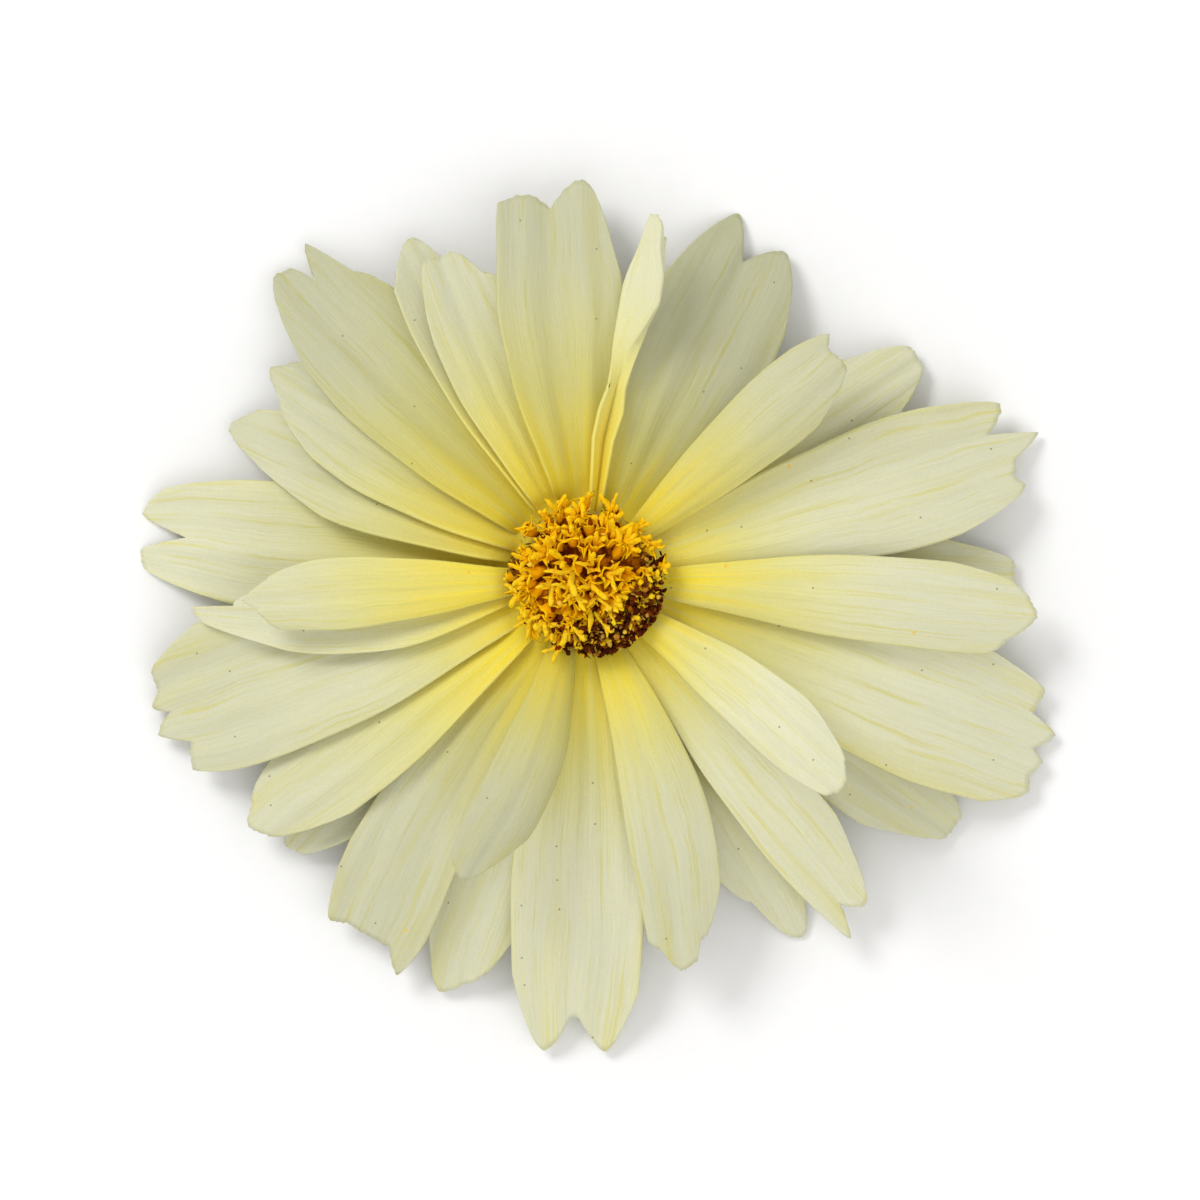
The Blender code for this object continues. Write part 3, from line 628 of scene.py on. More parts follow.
# %% Path of the folded petal
FOLDED = 79.8
FoldStation = namedtuple("FoldStation", "out left rib right left_rise rib_rise right_rise")
FOLD = [
    FoldStation(3.4, 0.30, 0.25, 0.20, 0.0, -0.1, 0.0),
    FoldStation(4.8, 0.65, 0.27, -0.10, 0.5, -0.3, 0.3),
    FoldStation(9.0, 1.21, 0.51, -0.10, 1.0, -0.4, 0.8),
    FoldStation(10.9, 1.15, 0.43, -0.41, 1.0, -0.3, 0.8),
    FoldStation(12.5, 0.84, 0.32, -0.28, 0.8, 0.0, 0.6),
    FoldStation(15.0, 1.00, 0.03, -0.68, 0.4, 0.6, 0.4),
    FoldStation(16.8, 1.03, -0.78, -0.97, 0.1, 1.1, 0.3),
    FoldStation(18.4, 1.03, -1.42, -1.45, -0.1, 1.3, 0.0),
    FoldStation(20.2, 1.03, -1.36, -1.40, -0.2, 1.2, -0.1),
    FoldStation(21.9, 0.70, -0.85, -1.15, -0.2, 0.9, 0.3),
    FoldStation(23.9, 0.58, -0.60, -1.13, -0.1, 0.6, 0.3),
]


def folded_point(laid, along, across):
    ray = laid.ray
    out = CLAW_START + (ray.reach - CLAW_START) * along
    way = FoldStation(*zip(*FOLD))
    left, rib, right, left_rise, rib_rise, right_rise = (np.interp(out, way.out, column)
                                                         for column in way[1:])
    share = np.abs(across)
    side = rib + (np.where(across > 0, left, right) - rib) * share
    rise = rib_rise + (np.where(across > 0, left_rise, right_rise) - rib_rise) * share
    turn = math.radians(ray.azimuth)
    x = out * math.cos(turn) - side * math.sin(turn)
    y = out * math.sin(turn) + side * math.cos(turn)
    level = laid.claw_height + (ray.tip - laid.claw_height) * along
    return x, y, level + rise


print("the folded petal is followed at", len(FOLD), "distances")

# %% [markdown]
# ## Where the points of a petal go
# Each petal starts as a flat grid. A column of the grid stands at every tooth and notch, with
# others evenly between, so that no tooth is cut off. Every point is then moved to its place on
# the laid petal. The edge wavers a little on its way out, and the tip is slightly ragged.

# %% Columns and places
PETAL_ROWS = 62
COLUMN_GAP = 0.045
EDGE_WAVER = 0.014
EDGE_WAVES = (14, 22)
TIP_RAGGED = 0.045
TIP_WAVES = (13, 23, 37, 53)
PHASES = (0, 6.3)


def petal_columns(ray):
    """The places across of the grid's columns, from the right edge to the left."""
    columns = []
    places = [place for place, cut in reversed(ray.teeth)]
    for right, left in zip(places, places[1:]):
        parts = max(1, math.ceil((left - right) / COLUMN_GAP))
        columns += [right + (left - right) * part / parts for part in range(parts)]
    return np.array(columns + [places[-1]])


def petal_places(laid, draw, share, across):
    """Where the grid's points go: x, y and z in millimetres from the disc's axis."""
    ray = laid.ray
    ragged = sum(draw.uniform(0.3, 1.0) * np.sin(waves * across + draw.uniform(*PHASES))
                 for waves in TIP_WAVES)
    along = share * (end_share(ray, across, TOOTH_ROUNDING) - TIP_RAGGED / ray.reach * ragged)
    if ray.azimuth == FOLDED:
        x, y, z = folded_point(laid, along, across)
    else:
        waver = draw.uniform(*EDGE_WAVES) * along + draw.uniform(*PHASES)
        x, y = plan_point(ray, along, across * (1 + EDGE_WAVER * np.sin(waver)))
        z = laid.height(along, across) + relief(laid, draw, along, across)
    return x, y, z, along


print("the first petal's grid has", len(petal_columns(RAYS[0])), "columns")

# %% [markdown]
# ## What the mesh keeps for its finish
# A UV map keeps each point's place across and along the petal, because a vein has to follow its
# petal wherever that bends. Four numbers per petal say how it is coloured. All the points of a
# mesh are read and written at once, which is quicker than one by one.

# %% Grid of a petal
def petal_grid(name, columns):
    """A grid's mesh, and for each of its points the place across and the share of the length."""
    bm = bmesh.new()
    bmesh.ops.create_grid(bm, x_segments=len(columns) - 1, y_segments=PETAL_ROWS, size=1.0)
    mesh = bpy.data.meshes.new(name)
    bm.to_mesh(mesh)
    bm.free()
    flat = np.empty(len(mesh.vertices) * 3)
    mesh.vertices.foreach_get("co", flat)
    flat = (flat.reshape(-1, 3) + 1) / 2
    column = np.rint(flat[:, 0] * (len(columns) - 1)).astype(int)
    return mesh, columns[column], flat[:, 1]


def keep_places(mesh, across, along):
    """A UV map of the places across and along, both from 0 to 1."""
    corner = np.empty(len(mesh.loops), dtype=int)
    mesh.loops.foreach_get("vertex_index", corner)
    uv = mesh.uv_layers.new(name="petal")
    uv.data.foreach_set("uv", np.stack([(across + 1) / 2, along], axis=1)[corner].ravel())


def keep_numbers(mesh, numbers):
    """Keep numbers of the whole petal on each of its points."""
    for name, number in numbers.items():
        layer = mesh.attributes.new(name, "FLOAT", "POINT")
        layer.data.foreach_set("value", np.full(len(mesh.vertices), number, dtype=np.float32))


print("a petal's grid has", PETAL_ROWS, "rows")

# %% [markdown]
# ## The petal as a piece
# Every new piece rides on the flower's one body and takes the place of a solid. A petal's
# thickness comes from a Solidify modifier, which keeps the mesh itself a simple skin. The solid's
# blade is thicker than a petal, so the fine petal is lowered until both have the same underside.

# %% Petal mesh
PETAL_THICKNESS = 0.22
UNDERSIDE_CLEAR = 0.01
BLADE_LOWERED = (BLADE - PETAL_THICKNESS) / 2 - UNDERSIDE_CLEAR
PETAL_SEEDS = (0, 10)


def add_piece(name, mesh, material, node):
    """Make a mesh a smooth piece of the flower, in place of the node's solid."""
    mesh.polygons.foreach_set("use_smooth", np.ones(len(mesh.polygons), dtype=bool))
    mesh.materials.append(material)
    piece = bpy.data.objects.new(name, mesh)
    bpy.context.scene.collection.objects.link(piece)
    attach(piece, "root")
    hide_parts(node)
    return piece


def thicken(piece, thickness):
    """Give a skin its wall, half of it to each side."""
    solidify = piece.modifiers.new("Thickness", "SOLIDIFY")
    solidify.thickness = thickness * MM
    solidify.offset = 0.0


def make_petal(number, laid, material):
    ray = laid.ray
    name = f"petal_{number + 1:02d}"
    draw = np.random.default_rng([RAY_SEED, number])
    mesh, across, share = petal_grid(name, petal_columns(ray))
    x, y, z, along = petal_places(laid, draw, share, across)
    places = np.stack([x + DISC_X, y + DISC_Y, z - BLADE_LOWERED], axis=1) * MM
    mesh.vertices.foreach_set("co", places.ravel())
    keep_places(mesh, across, along)
    # Two of these numbers are painted shade: one for the whole petal, one for a half of it.
    keep_numbers(mesh, {"yellow": ray.yellow, "grey": ray.grey, "olive": ray.olive,
                        "seed": draw.uniform(*PETAL_SEEDS)})
    petal = add_piece(name, mesh, material, "ray_florets")
    thicken(petal, PETAL_THICKNESS)
    return petal


print("the fine petals lie", round(BLADE_LOWERED, 2), "mm below the middle of their solids")

# %% [markdown]
# ## Colours of a petal
# From claw to tip the petal turns from strong yellow through pale yellow to cream. Tints multiply
# the colour that is already there: one darkens it along fine veins, one is painted shade on shaded
# petals.
# A few grains of pollen and dark specks lie on top. They come from a Voronoi texture, which gives
# each cell one spot and one lot, and only the cells with a high lot keep their spot.

# %% Petal colours and spots
CREAM = (0.765, 0.755, 0.52, 1)
PALE_YELLOW = (0.78, 0.73, 0.27, 1)
BASE_YELLOW = (0.92, 0.72, 0.025, 1)
VEIN_YELLOW = (0.71, 0.66, 0.22, 1)
SILK_WHITE = (0.82, 0.82, 0.66, 1)
TIP_GREY = (0.64, 0.65, 0.50, 1)
# Painted shade for the half of a petal that curves away from the light.
HALF_SHADE_COLOR = (0.52, 0.47, 0.13, 1)
SPECK_BROWN = (0.20, 0.14, 0.06, 1)
POLLEN_YELLOW = (0.90, 0.52, 0.02, 1)
FINE_VEIN_TINT = (0.80, 0.79, 0.62, 1)
# Painted shade: this tint darkens the petals that lie in shade.
PAINTED_SHADE_TINT = (0.63, 0.64, 0.58, 1)
GRAIN_TINT = (0.80, 0.80, 0.80, 1)
YELLOW_STOPS = [(0.0, CREAM), (0.5, PALE_YELLOW), (1.0, BASE_YELLOW)]

Spots = namedtuple("Spots", "cells_per_metre empty_share radius")
SPECKS = Spots(420.0, 0.84, 0.034)
POLLEN_GRAINS = Spots(240.0, 0.94, 0.032)
SPOT_CORE = 0.6


def scattered(finish, spots):
    """A mask of round spots. The radius is a share of a cell."""
    sockets = {"Vector": finish.object_place(), "Scale": spots.cells_per_metre}
    flat = {"voronoi_dimensions": "2D"}
    away = finish.node("TexVoronoi", flat, sockets)
    color = finish.node("TexVoronoi", flat, sockets, output=1)
    lot = finish.node("SeparateColor", {}, {"Color": color})
    chosen = finish.rise(lot, spots.empty_share, spots.empty_share + 0.01)
    return finish.rise(away, SPOT_CORE * spots.radius, spots.radius, 1.0, 0.0) * chosen


print("yellow stops", [place for place, color in YELLOW_STOPS])

# %% [markdown]
# ## Streaks along a petal
# Veins are soft yellow streaks that come and go, and fine silky fibres lie between them. A noise
# that is stretched lengthwise gives both. These numbers say how fine each kind of streak is, where
# it comes in and how strongly it shows. They were matched to the photograph.

# %% Numbers of the petal's patterns
# How many waves of each streak lie across a petal and along it.
BROAD_WAVES = (7.0, 1.8)
PATCH_WAVES = (9.0, 9.0)
VEIN_WAVES = (34.0, 2.6)
FINE_WAVES = (64.0, 3.2)
SILK_WAVES = (150.0, 12.0)
CLOUD_WAVES = (2.5, 3.5)
WANDER_WAVES = (2.0, 5.0)
WANDER = 0.10
# Between which values of its noise each pattern comes in.
BROAD_RISE = (0.50, 0.70)
PATCH_RISE = (0.30, 0.55)
VEIN_RISE = (0.53, 0.70)
FINE_RISE = (0.42, 0.66)
SILK_RISE = (0.35, 0.75)
GRAIN_RISE = (0.35, 0.65)
# Between which places each change along or across the petal takes place.
YELLOW_RISE = (0.0, 1.4)
TIP_RISE = (0.45, 1.0)
HALF_SHADE_RISE = (0.0, 0.7)
MARGIN_RISE = (0.90, 1.0)
PAINTED_SHADE_RISE = (0.0, 0.8)
# How strongly each colour shows where it is strongest.
TIP_SHARE = 0.45
SILK_SHARE = 0.28
BROAD_SHARE = 0.30
VEIN_SHARE = 0.62
FINE_SHARE = 0.16
HALF_SHADE_SHARE = 0.80
MARGIN_SHARE = 0.25
GRAIN_SHARE = 0.12
SPECK_SHARE = 0.7
POLLEN_SHARE = 0.8
print("waves of veins across a petal:", VEIN_WAVES[0])

# %% [markdown]
# ## Finish of a petal
# The yellow runs out further along some veins than others, so the place along is shifted by a
# broad noise before a colour ramp reads it. Where a half curves away from the light, painted shade
# darkens it.
# Painted shade darkens the shaded petals: most of them towards the tip, the darkest ones down to
# the base.
# The same streaks that colour the petal also lift it a little, in its bump.

# %% Petal finish
def petal_finish():
    finish = Finish("petal_cream", {"Specular IOR Level": 0.15, "Subsurface Weight": 0.3,
                                    "Subsurface Scale": 0.5 * MM,
                                    "Subsurface Radius": (1.0, 0.9, 0.4)})
    uv = finish.node("UVMap", {"uv_map": "petal"}, {})
    straight = finish.node("SeparateXYZ", {}, {"Vector": uv}, output=0)
    along = finish.node("SeparateXYZ", {}, {"Vector": uv}, output=1)
    seed = finish.kept("seed")

    def streaks(waves, across):
        """A noise that is stretched along the petal, and different on each one."""
        across_waves, along_waves = waves
        place = finish.vector(across * across_waves, along * along_waves, seed)
        return finish.noise(place, scale=1.0)

    across = straight + (streaks(WANDER_WAVES, straight) - 0.5) * WANDER
    broad = streaks(BROAD_WAVES, across)
    patchy = finish.rise(streaks(PATCH_WAVES, across), *PATCH_RISE)
    vein = finish.rise(streaks(VEIN_WAVES, across), *VEIN_RISE) * patchy
    fine = finish.rise(streaks(FINE_WAVES, across), *FINE_RISE)
    silk = streaks(SILK_WAVES, across)
    cloud = streaks(CLOUD_WAVES, across) - 0.5
    grain = finish.rise(finish.noise(finish.object_place(), scale=5200.0), *GRAIN_RISE)

    run = along + (broad - 0.5) * 0.22 + cloud * 0.10
    yellowness = finish.rise(run / finish.kept("yellow"), *YELLOW_RISE, 1.0, 0.0)
    color = finish.node("ValToRGB", {"stops": YELLOW_STOPS}, {"Fac": yellowness})
    tip = finish.rise(along + cloud * 0.5, *TIP_RISE)
    color = finish.mix(tip * TIP_SHARE, color, TIP_GREY)
    fibres = finish.rise(silk, *SILK_RISE) * SILK_SHARE * (1.0 - yellowness)
    color = finish.mix(fibres, color, SILK_WHITE)
    color = finish.mix(finish.rise(broad, *BROAD_RISE) * BROAD_SHARE, color, VEIN_YELLOW)
    color = finish.mix(vein * VEIN_SHARE, color, VEIN_YELLOW)
    color = finish.mix(fine * FINE_SHARE, color, FINE_VEIN_TINT, "MULTIPLY")
    # Painted shade on the half that curves away from the light, strongest at the base.
    half = finish.rise((across * 2.0 - 1.0) * finish.kept("olive"), *HALF_SHADE_RISE)
    color = finish.mix(half * HALF_SHADE_SHARE * (1.0 - 0.8 * along), color, HALF_SHADE_COLOR)
    margin = finish.rise(abs(straight * 2.0 - 1.0), *MARGIN_RISE)
    color = finish.mix(margin * MARGIN_SHARE, color, PALE_YELLOW)
    # Painted shade on the petals that lie in shade, the darkest ones down to the base.
    grey = finish.kept("grey")
    painted_shade_share = grey * finish.rise(along, *PAINTED_SHADE_RISE, grey, 1.0)
    color = finish.mix(painted_shade_share, color, PAINTED_SHADE_TINT, "MULTIPLY")
    color = finish.mix(grain * GRAIN_SHARE, color, GRAIN_TINT, "MULTIPLY")
    color = finish.mix(scattered(finish, SPECKS) * SPECK_SHARE, color, SPECK_BROWN)
    color = finish.mix(scattered(finish, POLLEN_GRAINS) * POLLEN_SHARE, color, POLLEN_YELLOW)
    ridges = silk * 0.16 + broad * 0.9 + fine * 0.1
    return finish.finish_with({"Base Color": color, "Roughness": 0.54 + 0.12 * silk,
                               "Normal": finish.bump(ridges, distance=0.07 * MM, strength=0.8)})


petal_material = petal_finish()
petals = [make_petal(number, laid, petal_material) for number, laid in enumerate(laid_rays)]
print(len(petals), "petals,", sum(len(petal.data.vertices) for petal in petals), "points")

# %% [markdown]
# ## Turned pieces
# The receptacle, the fleshy base that carries every floret, is a turned shape. A few points give
# its outer side, and `bmesh.ops.spin` carries them once round. The spin ends where it started, so
# its doubles are merged, and the normals are made to point outwards.

# %% The receptacle
SPIN_STEPS = 48
RECEPTACLE_SIDE = [(0.0, 9.2), (3.9, 9.2), (4.3, 8.8), (4.6, 7.3), (4.1, 6.9), (0.0, 6.9)]
RECEPTACLE_DARK = (0.40, 0.30, 0.02, 1)
RECEPTACLE_LIGHT = (0.66, 0.48, 0.03, 1)
CELL_SCALE = 1800.0


def turned(side):
    """Turn points (radius, height) about the axis."""
    bm = bmesh.new()
    verts = [bm.verts.new((radius * MM, 0, height * MM)) for radius, height in side]
    edges = [bm.edges.new(pair) for pair in zip(verts, verts[1:])]
    bmesh.ops.spin(bm, geom=verts + edges, cent=(0, 0, 0), axis=(0, 0, 1),
                   angle=2 * math.pi, steps=SPIN_STEPS, use_merge=True)
    bmesh.ops.remove_doubles(bm, verts=bm.verts, dist=0.001 * MM)
    bmesh.ops.recalc_face_normals(bm, faces=bm.faces)
    return bm


def add_to_disc(name, bm, material, node="disc_florets"):
    """Move a bmesh that was made about the axis to the disc, and make it a piece."""
    bmesh.ops.translate(bm, verts=bm.verts, vec=Vector((DISC_X, DISC_Y, 0)) * MM)
    mesh = bpy.data.meshes.new(name)
    bm.to_mesh(mesh)
    bm.free()
    piece = add_piece(name, mesh, material, node)
    print(name, len(mesh.polygons), "faces")
    return piece


def receptacle_finish():
    finish = Finish("receptacle_green", {"Roughness": 0.6})
    cells = finish.noise(finish.object_place(), scale=CELL_SCALE, detail=3.0)
    return finish.finish_with({"Base Color": finish.mix(cells, RECEPTACLE_DARK, RECEPTACLE_LIGHT),
                               "Normal": finish.bump(cells, distance=0.05 * MM)})


add_to_disc("receptacle", turned(RECEPTACLE_SIDE), receptacle_finish(), "ray_florets")

# %% [markdown]
# ## The disc
# The disc is a crowd of tiny tubular florets on a dome. Each floret is a tube that opens in five
# lobes. A dark brown tube of anthers stands in it, and out of that come the two yellow arms of the
# style. The dome is turned as the receptacle was. It shows only as the dark ground between the
# florets.

# %% Dome of the disc
DISC_SHOULDER = 9.6
DISC_CROWN = 10.76
DOME_RADIUS = 4.1
DOME_FOOT = [(4.1, 9.5), (3.9, 9.3), (0.0, 9.3)]
DOME_ANGLES = [math.radians(degrees) for degrees in range(0, 91, 10)]
DOME_SIDE = [(DOME_RADIUS * math.sin(angle),
              DISC_SHOULDER + (DISC_CROWN - DISC_SHOULDER) * math.cos(angle))
             for angle in DOME_ANGLES] + DOME_FOOT
# Painted shade: the near-black brown darkens the hollows of the dome's bump, over the ground's own
# brown.
HOLLOW_SHADE_BROWN = (0.12, 0.020, 0.001, 1)
GROUND_BROWN = (0.52, 0.18, 0.003, 1)


def dome_finish():
    finish = Finish("disc_ground", {"Roughness": 0.9, "Specular IOR Level": 0.02})
    cells = finish.noise(finish.object_place(), scale=CELL_SCALE, detail=3.0)
    # Painted shade in the bump's hollows, the ground's own brown on its rises.
    color = finish.mix(finish.rise(cells, 0.40, 0.70), HOLLOW_SHADE_BROWN, GROUND_BROWN)
    return finish.finish_with({"Base Color": color,
                               "Normal": finish.bump(cells, distance=0.10 * MM)})


add_to_disc("disc_dome", turned(DOME_SIDE), dome_finish())

# %% [markdown]
# ## Where each disc floret stands
# The florets stand in the spiral of the golden angle, as seeds do on every daisy. Those of this
# head don't stand straight: they burst outwards from a point a little above the middle of the
# disc, and lie flatter the further they are from it. A seeded draw adds each floret's own lean,
# size and turn. `age` says how withered it is: along the lower right rim the florets are over and
# make a dark, crumbly crescent.

# %% Places of the disc florets
Floret = namedtuple("Floret", "matrix spin size age seed turn share")
DISC_SEED = 7
DISC_FLORETS = 112
DISC_RADIUS = 4.3
DISC_SPREAD = 4.25
DISC_JITTER = 0.24
DISC_RIM_SHARE = 0.97
GOLDEN_ANGLE = math.pi * (3 - math.sqrt(5))
FLORET_SUNK = 0.15
FLORET_SIZES = (0.85, 1.15)
RIM_SHORTER = 0.34
BURST_X = 0.0
BURST_Y = 0.9
BURST_REACH = 1.5
MOST_LEAN = 74.0
LEAN_JITTER = 16.0
TOWARD_JITTER = 0.45
OLD_SIDE = math.radians(-55)
OLD_JITTER = 0.08
OLD_RISE = (0.35, 0.75)


def dome_height(radius):
    """Height of the disc's ground at a distance from its axis, in millimetres."""
    inside = min(radius / DISC_RADIUS, DISC_RIM_SHARE)
    return DISC_SHOULDER + (DISC_CROWN - DISC_SHOULDER) * math.sqrt(1 - inside ** 2)


def place_floret(number, draw):
    share = math.sqrt((number + 0.5) / DISC_FLORETS)
    turn = number * GOLDEN_ANGLE
    x = DISC_SPREAD * share * math.cos(turn) + draw.normal() * DISC_JITTER
    y = DISC_SPREAD * share * math.sin(turn) + draw.normal() * DISC_JITTER
    inward = min(1, DISC_RADIUS / math.hypot(x, y))
    x *= inward
    y *= inward
    away = math.hypot(x - BURST_X, y - BURST_Y)
    lean = MOST_LEAN * (1 - math.exp(-away / BURST_REACH)) + draw.normal() * LEAN_JITTER
    toward = math.atan2(y - BURST_Y, x - BURST_X) + draw.normal() * TOWARD_JITTER
    foot = Vector((x, y, dome_height(math.hypot(x, y)) - FLORET_SUNK)) * MM
    matrix = (Matrix.Translation(foot) @ Matrix.Rotation(toward, 4, "Z")
              @ Matrix.Rotation(math.radians(lean), 4, "Y"))
    spin = Matrix.Rotation(draw.uniform(0, 2 * math.pi), 4, "Z")
    old = share * math.cos(turn - OLD_SIDE) + draw.normal() * OLD_JITTER
    size = draw.uniform(*FLORET_SIZES) * (1 - RIM_SHORTER * share ** 2)
    age = float(fade_in(old, *OLD_RISE))
    return Floret(matrix, spin, size, age, draw.uniform(0, 1), turn, share)


place_draw = np.random.default_rng(DISC_SEED)
disc_florets = [place_floret(number, place_draw) for number in range(DISC_FLORETS)]
old_florets = [floret for floret in disc_florets if floret.age > 0.5]
print(len(disc_florets), "florets,", len(old_florets), "of them old")

# %% [markdown]
# ## Tubes along a path
# `grow_tube` makes every part of a disc floret. A circle is extruded ring by ring along a path,
# and each ring is turned to face along the path and gets its own radius. The first edges are put
# in a dict, not in a set, because a set's order changes from run to run. `settle_part` moves the
# part to its floret's place, and keeps the floret's seed and age on its points, with how far up
# the part each of them stands.

# %% Tubes along a path
KEPT = ("seed", "age", "up")


def grow_tube(bm, sides, path, radii, closed_top=True):
    """Rings along a path, joined to one skin; returns the points, ring by ring."""
    path = [Vector(point) * MM for point in path]
    facing = [(path[min(k + 1, len(path) - 1)] - path[max(k - 1, 0)]).normalized()
              for k in range(len(path))]
    start = Matrix.Translation(path[0]) @ facing[0].to_track_quat("Z", "Y").to_matrix().to_4x4()
    circle = bmesh.ops.create_circle(bm, segments=sides, radius=radii[0] * MM, matrix=start)
    made = [list(circle["verts"])]
    edges = list(dict.fromkeys(edge for vert in made[0] for edge in vert.link_edges))
    for k in range(1, len(path)):
        grown = bmesh.ops.extrude_edge_only(bm, edges=edges)["geom"]
        verts = [item for item in grown if isinstance(item, bmesh.types.BMVert)]
        fresh = set(verts)
        edges = [item for item in grown if isinstance(item, bmesh.types.BMEdge)
                 and item.verts[0] in fresh and item.verts[1] in fresh]
        turn = facing[k - 1].rotation_difference(facing[k])
        for vert in verts:
            vert.co = path[k] + turn @ (vert.co - path[k - 1]) * (radii[k] / radii[k - 1])
        made.append(verts)
    if closed_top:
        bmesh.ops.contextual_create(bm, geom=edges)
    return made


def turn_part(bm, made, matrix):
    bmesh.ops.transform(bm, matrix=matrix, verts=[vert for ring in made for vert in ring])


def settle_part(bm, made, floret):
    """Note the floret's numbers on the points and move them to the floret's place."""
    seed, age, up = [bm.verts.layers.float[name] for name in KEPT]
    for rank, ring in enumerate(made):
        for vert in ring:
            vert[seed] = floret.seed
            vert[age] = floret.age
            vert[up] = rank / (len(made) - 1)
    turn_part(bm, made, floret.matrix)


print("kept on each point:", ", ".join(KEPT))

# %% [markdown]
# ## A crowd of parts
# All the parts of a kind share one mesh, because hundreds of objects would be slow to handle. Each
# kind has a seeded draw of its own. When its parts are made, `crumple` moves their points a little
# by a noise, because nothing in the disc is quite round or straight. That noise is given a seed
# too, because without one Blender takes the time of day and every run comes out different.

# %% Crowds
Crumple = namedtuple("Crumple", "amount waves_per_mm")


def crumple(bm, crumples):
    for amount, waves_per_mm in crumples:
        for vert in bm.verts:
            vert.co += noise.noise_vector(vert.co / MM * waves_per_mm) * amount * MM


def add_crowd(name, seed_step, members, add_member, crumples, material):
    """Add every member of a crowd to one mesh, and make it a piece of the disc."""
    bm = bmesh.new()
    for kept in KEPT:
        bm.verts.layers.float.new(kept)
    draw = np.random.default_rng(DISC_SEED + seed_step)
    for member in members:
        add_member(bm, member, draw)
    crumple(bm, crumples)
    return add_to_disc(name, bm, material)


noise.seed_set(DISC_SEED)
print("the crowds' draws start from seed", DISC_SEED + 1)

# %% [markdown]
# ## Corollas
# A corolla is a small vase with a ragged star of five lobes at its mouth. The last two rings of
# the tube are pulled outwards where a lobe stands and held back between two lobes. Every lobe
# has its own length and curl.

# %% Vases with five lobes
COROLLA_SIDES = 15
COROLLA_RADII = (0.16, 0.23, 0.33, 0.38, 0.36, 0.40, 0.42)
COROLLA_HEIGHTS = (0.0, 0.3, 0.65, 0.95, 1.2, 1.32, 1.40)
COROLLA_BEND = 0.15
LOBES = 5
LOBE_OUT = 0.44
LOBE_CURL = 0.30
LOBE_REACHES = (0.0, 1.9)
LOBE_CURLS = (-1.5, 1.2)
LOBE_RINGS = ((2, 0.5), (1, 1.0))
HELD_BACK = 0.45
OLD_SMALLER = 0.25
OLD_SHORTER = 0.4


def pull_lobes(ring, middle, share, reaches, curls):
    """Pull a ring outwards into lobes, by a share of each lobe's full length."""
    first = ring[0].co - middle
    for vert in ring:
        outward = vert.co - middle
        turn = (math.atan2(outward.y, outward.x) - math.atan2(first.y, first.x)) / (2 * math.pi)
        lobe = round(turn * LOBES) % LOBES
        point = max(math.cos(2 * math.pi * LOBES * turn), HELD_BACK * (1 - share))
        vert.co += outward.normalized() * reaches[lobe] * point * share * LOBE_OUT * MM
        vert.co.z += curls[lobe] * point * share * LOBE_CURL * MM


def add_corolla(bm, floret, draw):
    size = floret.size * (1 - OLD_SMALLER * floret.age)
    bend = draw.uniform(-COROLLA_BEND, COROLLA_BEND)
    path = [(bend * height ** 2, 0, height * size) for height in COROLLA_HEIGHTS]
    radii = [radius * size for radius in COROLLA_RADII]
    made = grow_tube(bm, COROLLA_SIDES, path, radii, closed_top=False)
    reaches = draw.uniform(*LOBE_REACHES, LOBES) * (1 - OLD_SHORTER * floret.age)
    curls = draw.uniform(*LOBE_CURLS, LOBES)
    for from_end, share in LOBE_RINGS:
        pull_lobes(made[-from_end], Vector(path[-from_end]) * MM, share, reaches, curls)
    turn_part(bm, made, floret.spin)
    settle_part(bm, made, floret)


print("a corolla has", COROLLA_SIDES * (len(COROLLA_HEIGHTS) - 1), "faces")

# %% [markdown]
# ## Finish of the corollas
# A fresh corolla is brown at its foot and orange above, with a lighter mouth and a few darker
# blotches. A withered one is nearly black, with tan blotches. The number `age` that each point
# keeps mixes the two, so one material serves for all. A thin wall closes the finished piece.

# %% Corolla finish
COROLLA_FOOT = (0.20, 0.04, 0.002, 1)
COROLLA_ORANGE = (0.92, 0.43, 0.002, 1)
COROLLA_MOUTH = (1.0, 0.60, 0.004, 1)
COROLLA_BLOTCH = (0.70, 0.24, 0.002, 1)
WITHERED_DARK = (0.06, 0.008, 0.002, 1)
WITHERED_TAN = (0.40, 0.15, 0.010, 1)
BLOTCH_SHARE = 0.40
COROLLA_WALL = 0.08
COROLLA_CRUMPLES = (Crumple(0.15, 1.6), Crumple(0.07, 5.0))


def corolla_finish():
    finish = Finish("corolla_orange", {"Roughness": 0.8, "Specular IOR Level": 0.03})
    seed = finish.kept("seed")
    up = finish.kept("up")
    own = (seed - 0.5) * 0.3
    blotch = finish.noise(finish.object_place(), scale=2400.0, detail=3.0)
    fresh = finish.mix(finish.rise(up, 0.0, 0.30), COROLLA_FOOT, COROLLA_ORANGE)
    fresh = finish.mix(finish.rise(up + own, 0.50, 0.80), fresh, COROLLA_MOUTH)
    fresh = finish.mix(finish.rise(blotch, 0.54, 0.74) * BLOTCH_SHARE, fresh, COROLLA_BLOTCH)
    old = finish.mix(finish.rise(blotch + own, 0.46, 0.72), WITHERED_DARK, WITHERED_TAN)
    color = finish.mix(finish.rise(finish.kept("age") - seed * 0.2, 0.35, 0.60), fresh, old)
    return finish.finish_with({"Base Color": color,
                               "Normal": finish.bump(blotch, distance=0.08 * MM)})


corollas = add_crowd("disc_corollas", 1, disc_florets, add_corolla, COROLLA_CRUMPLES,
                     corolla_finish())
thicken(corollas, COROLLA_WALL)

# %% [markdown]
# ## Anthers
# In about half of the florets a maroon tube of anthers stands out of the mouth, dusted with
# pollen. Those in the very middle haven't opened yet and show none.

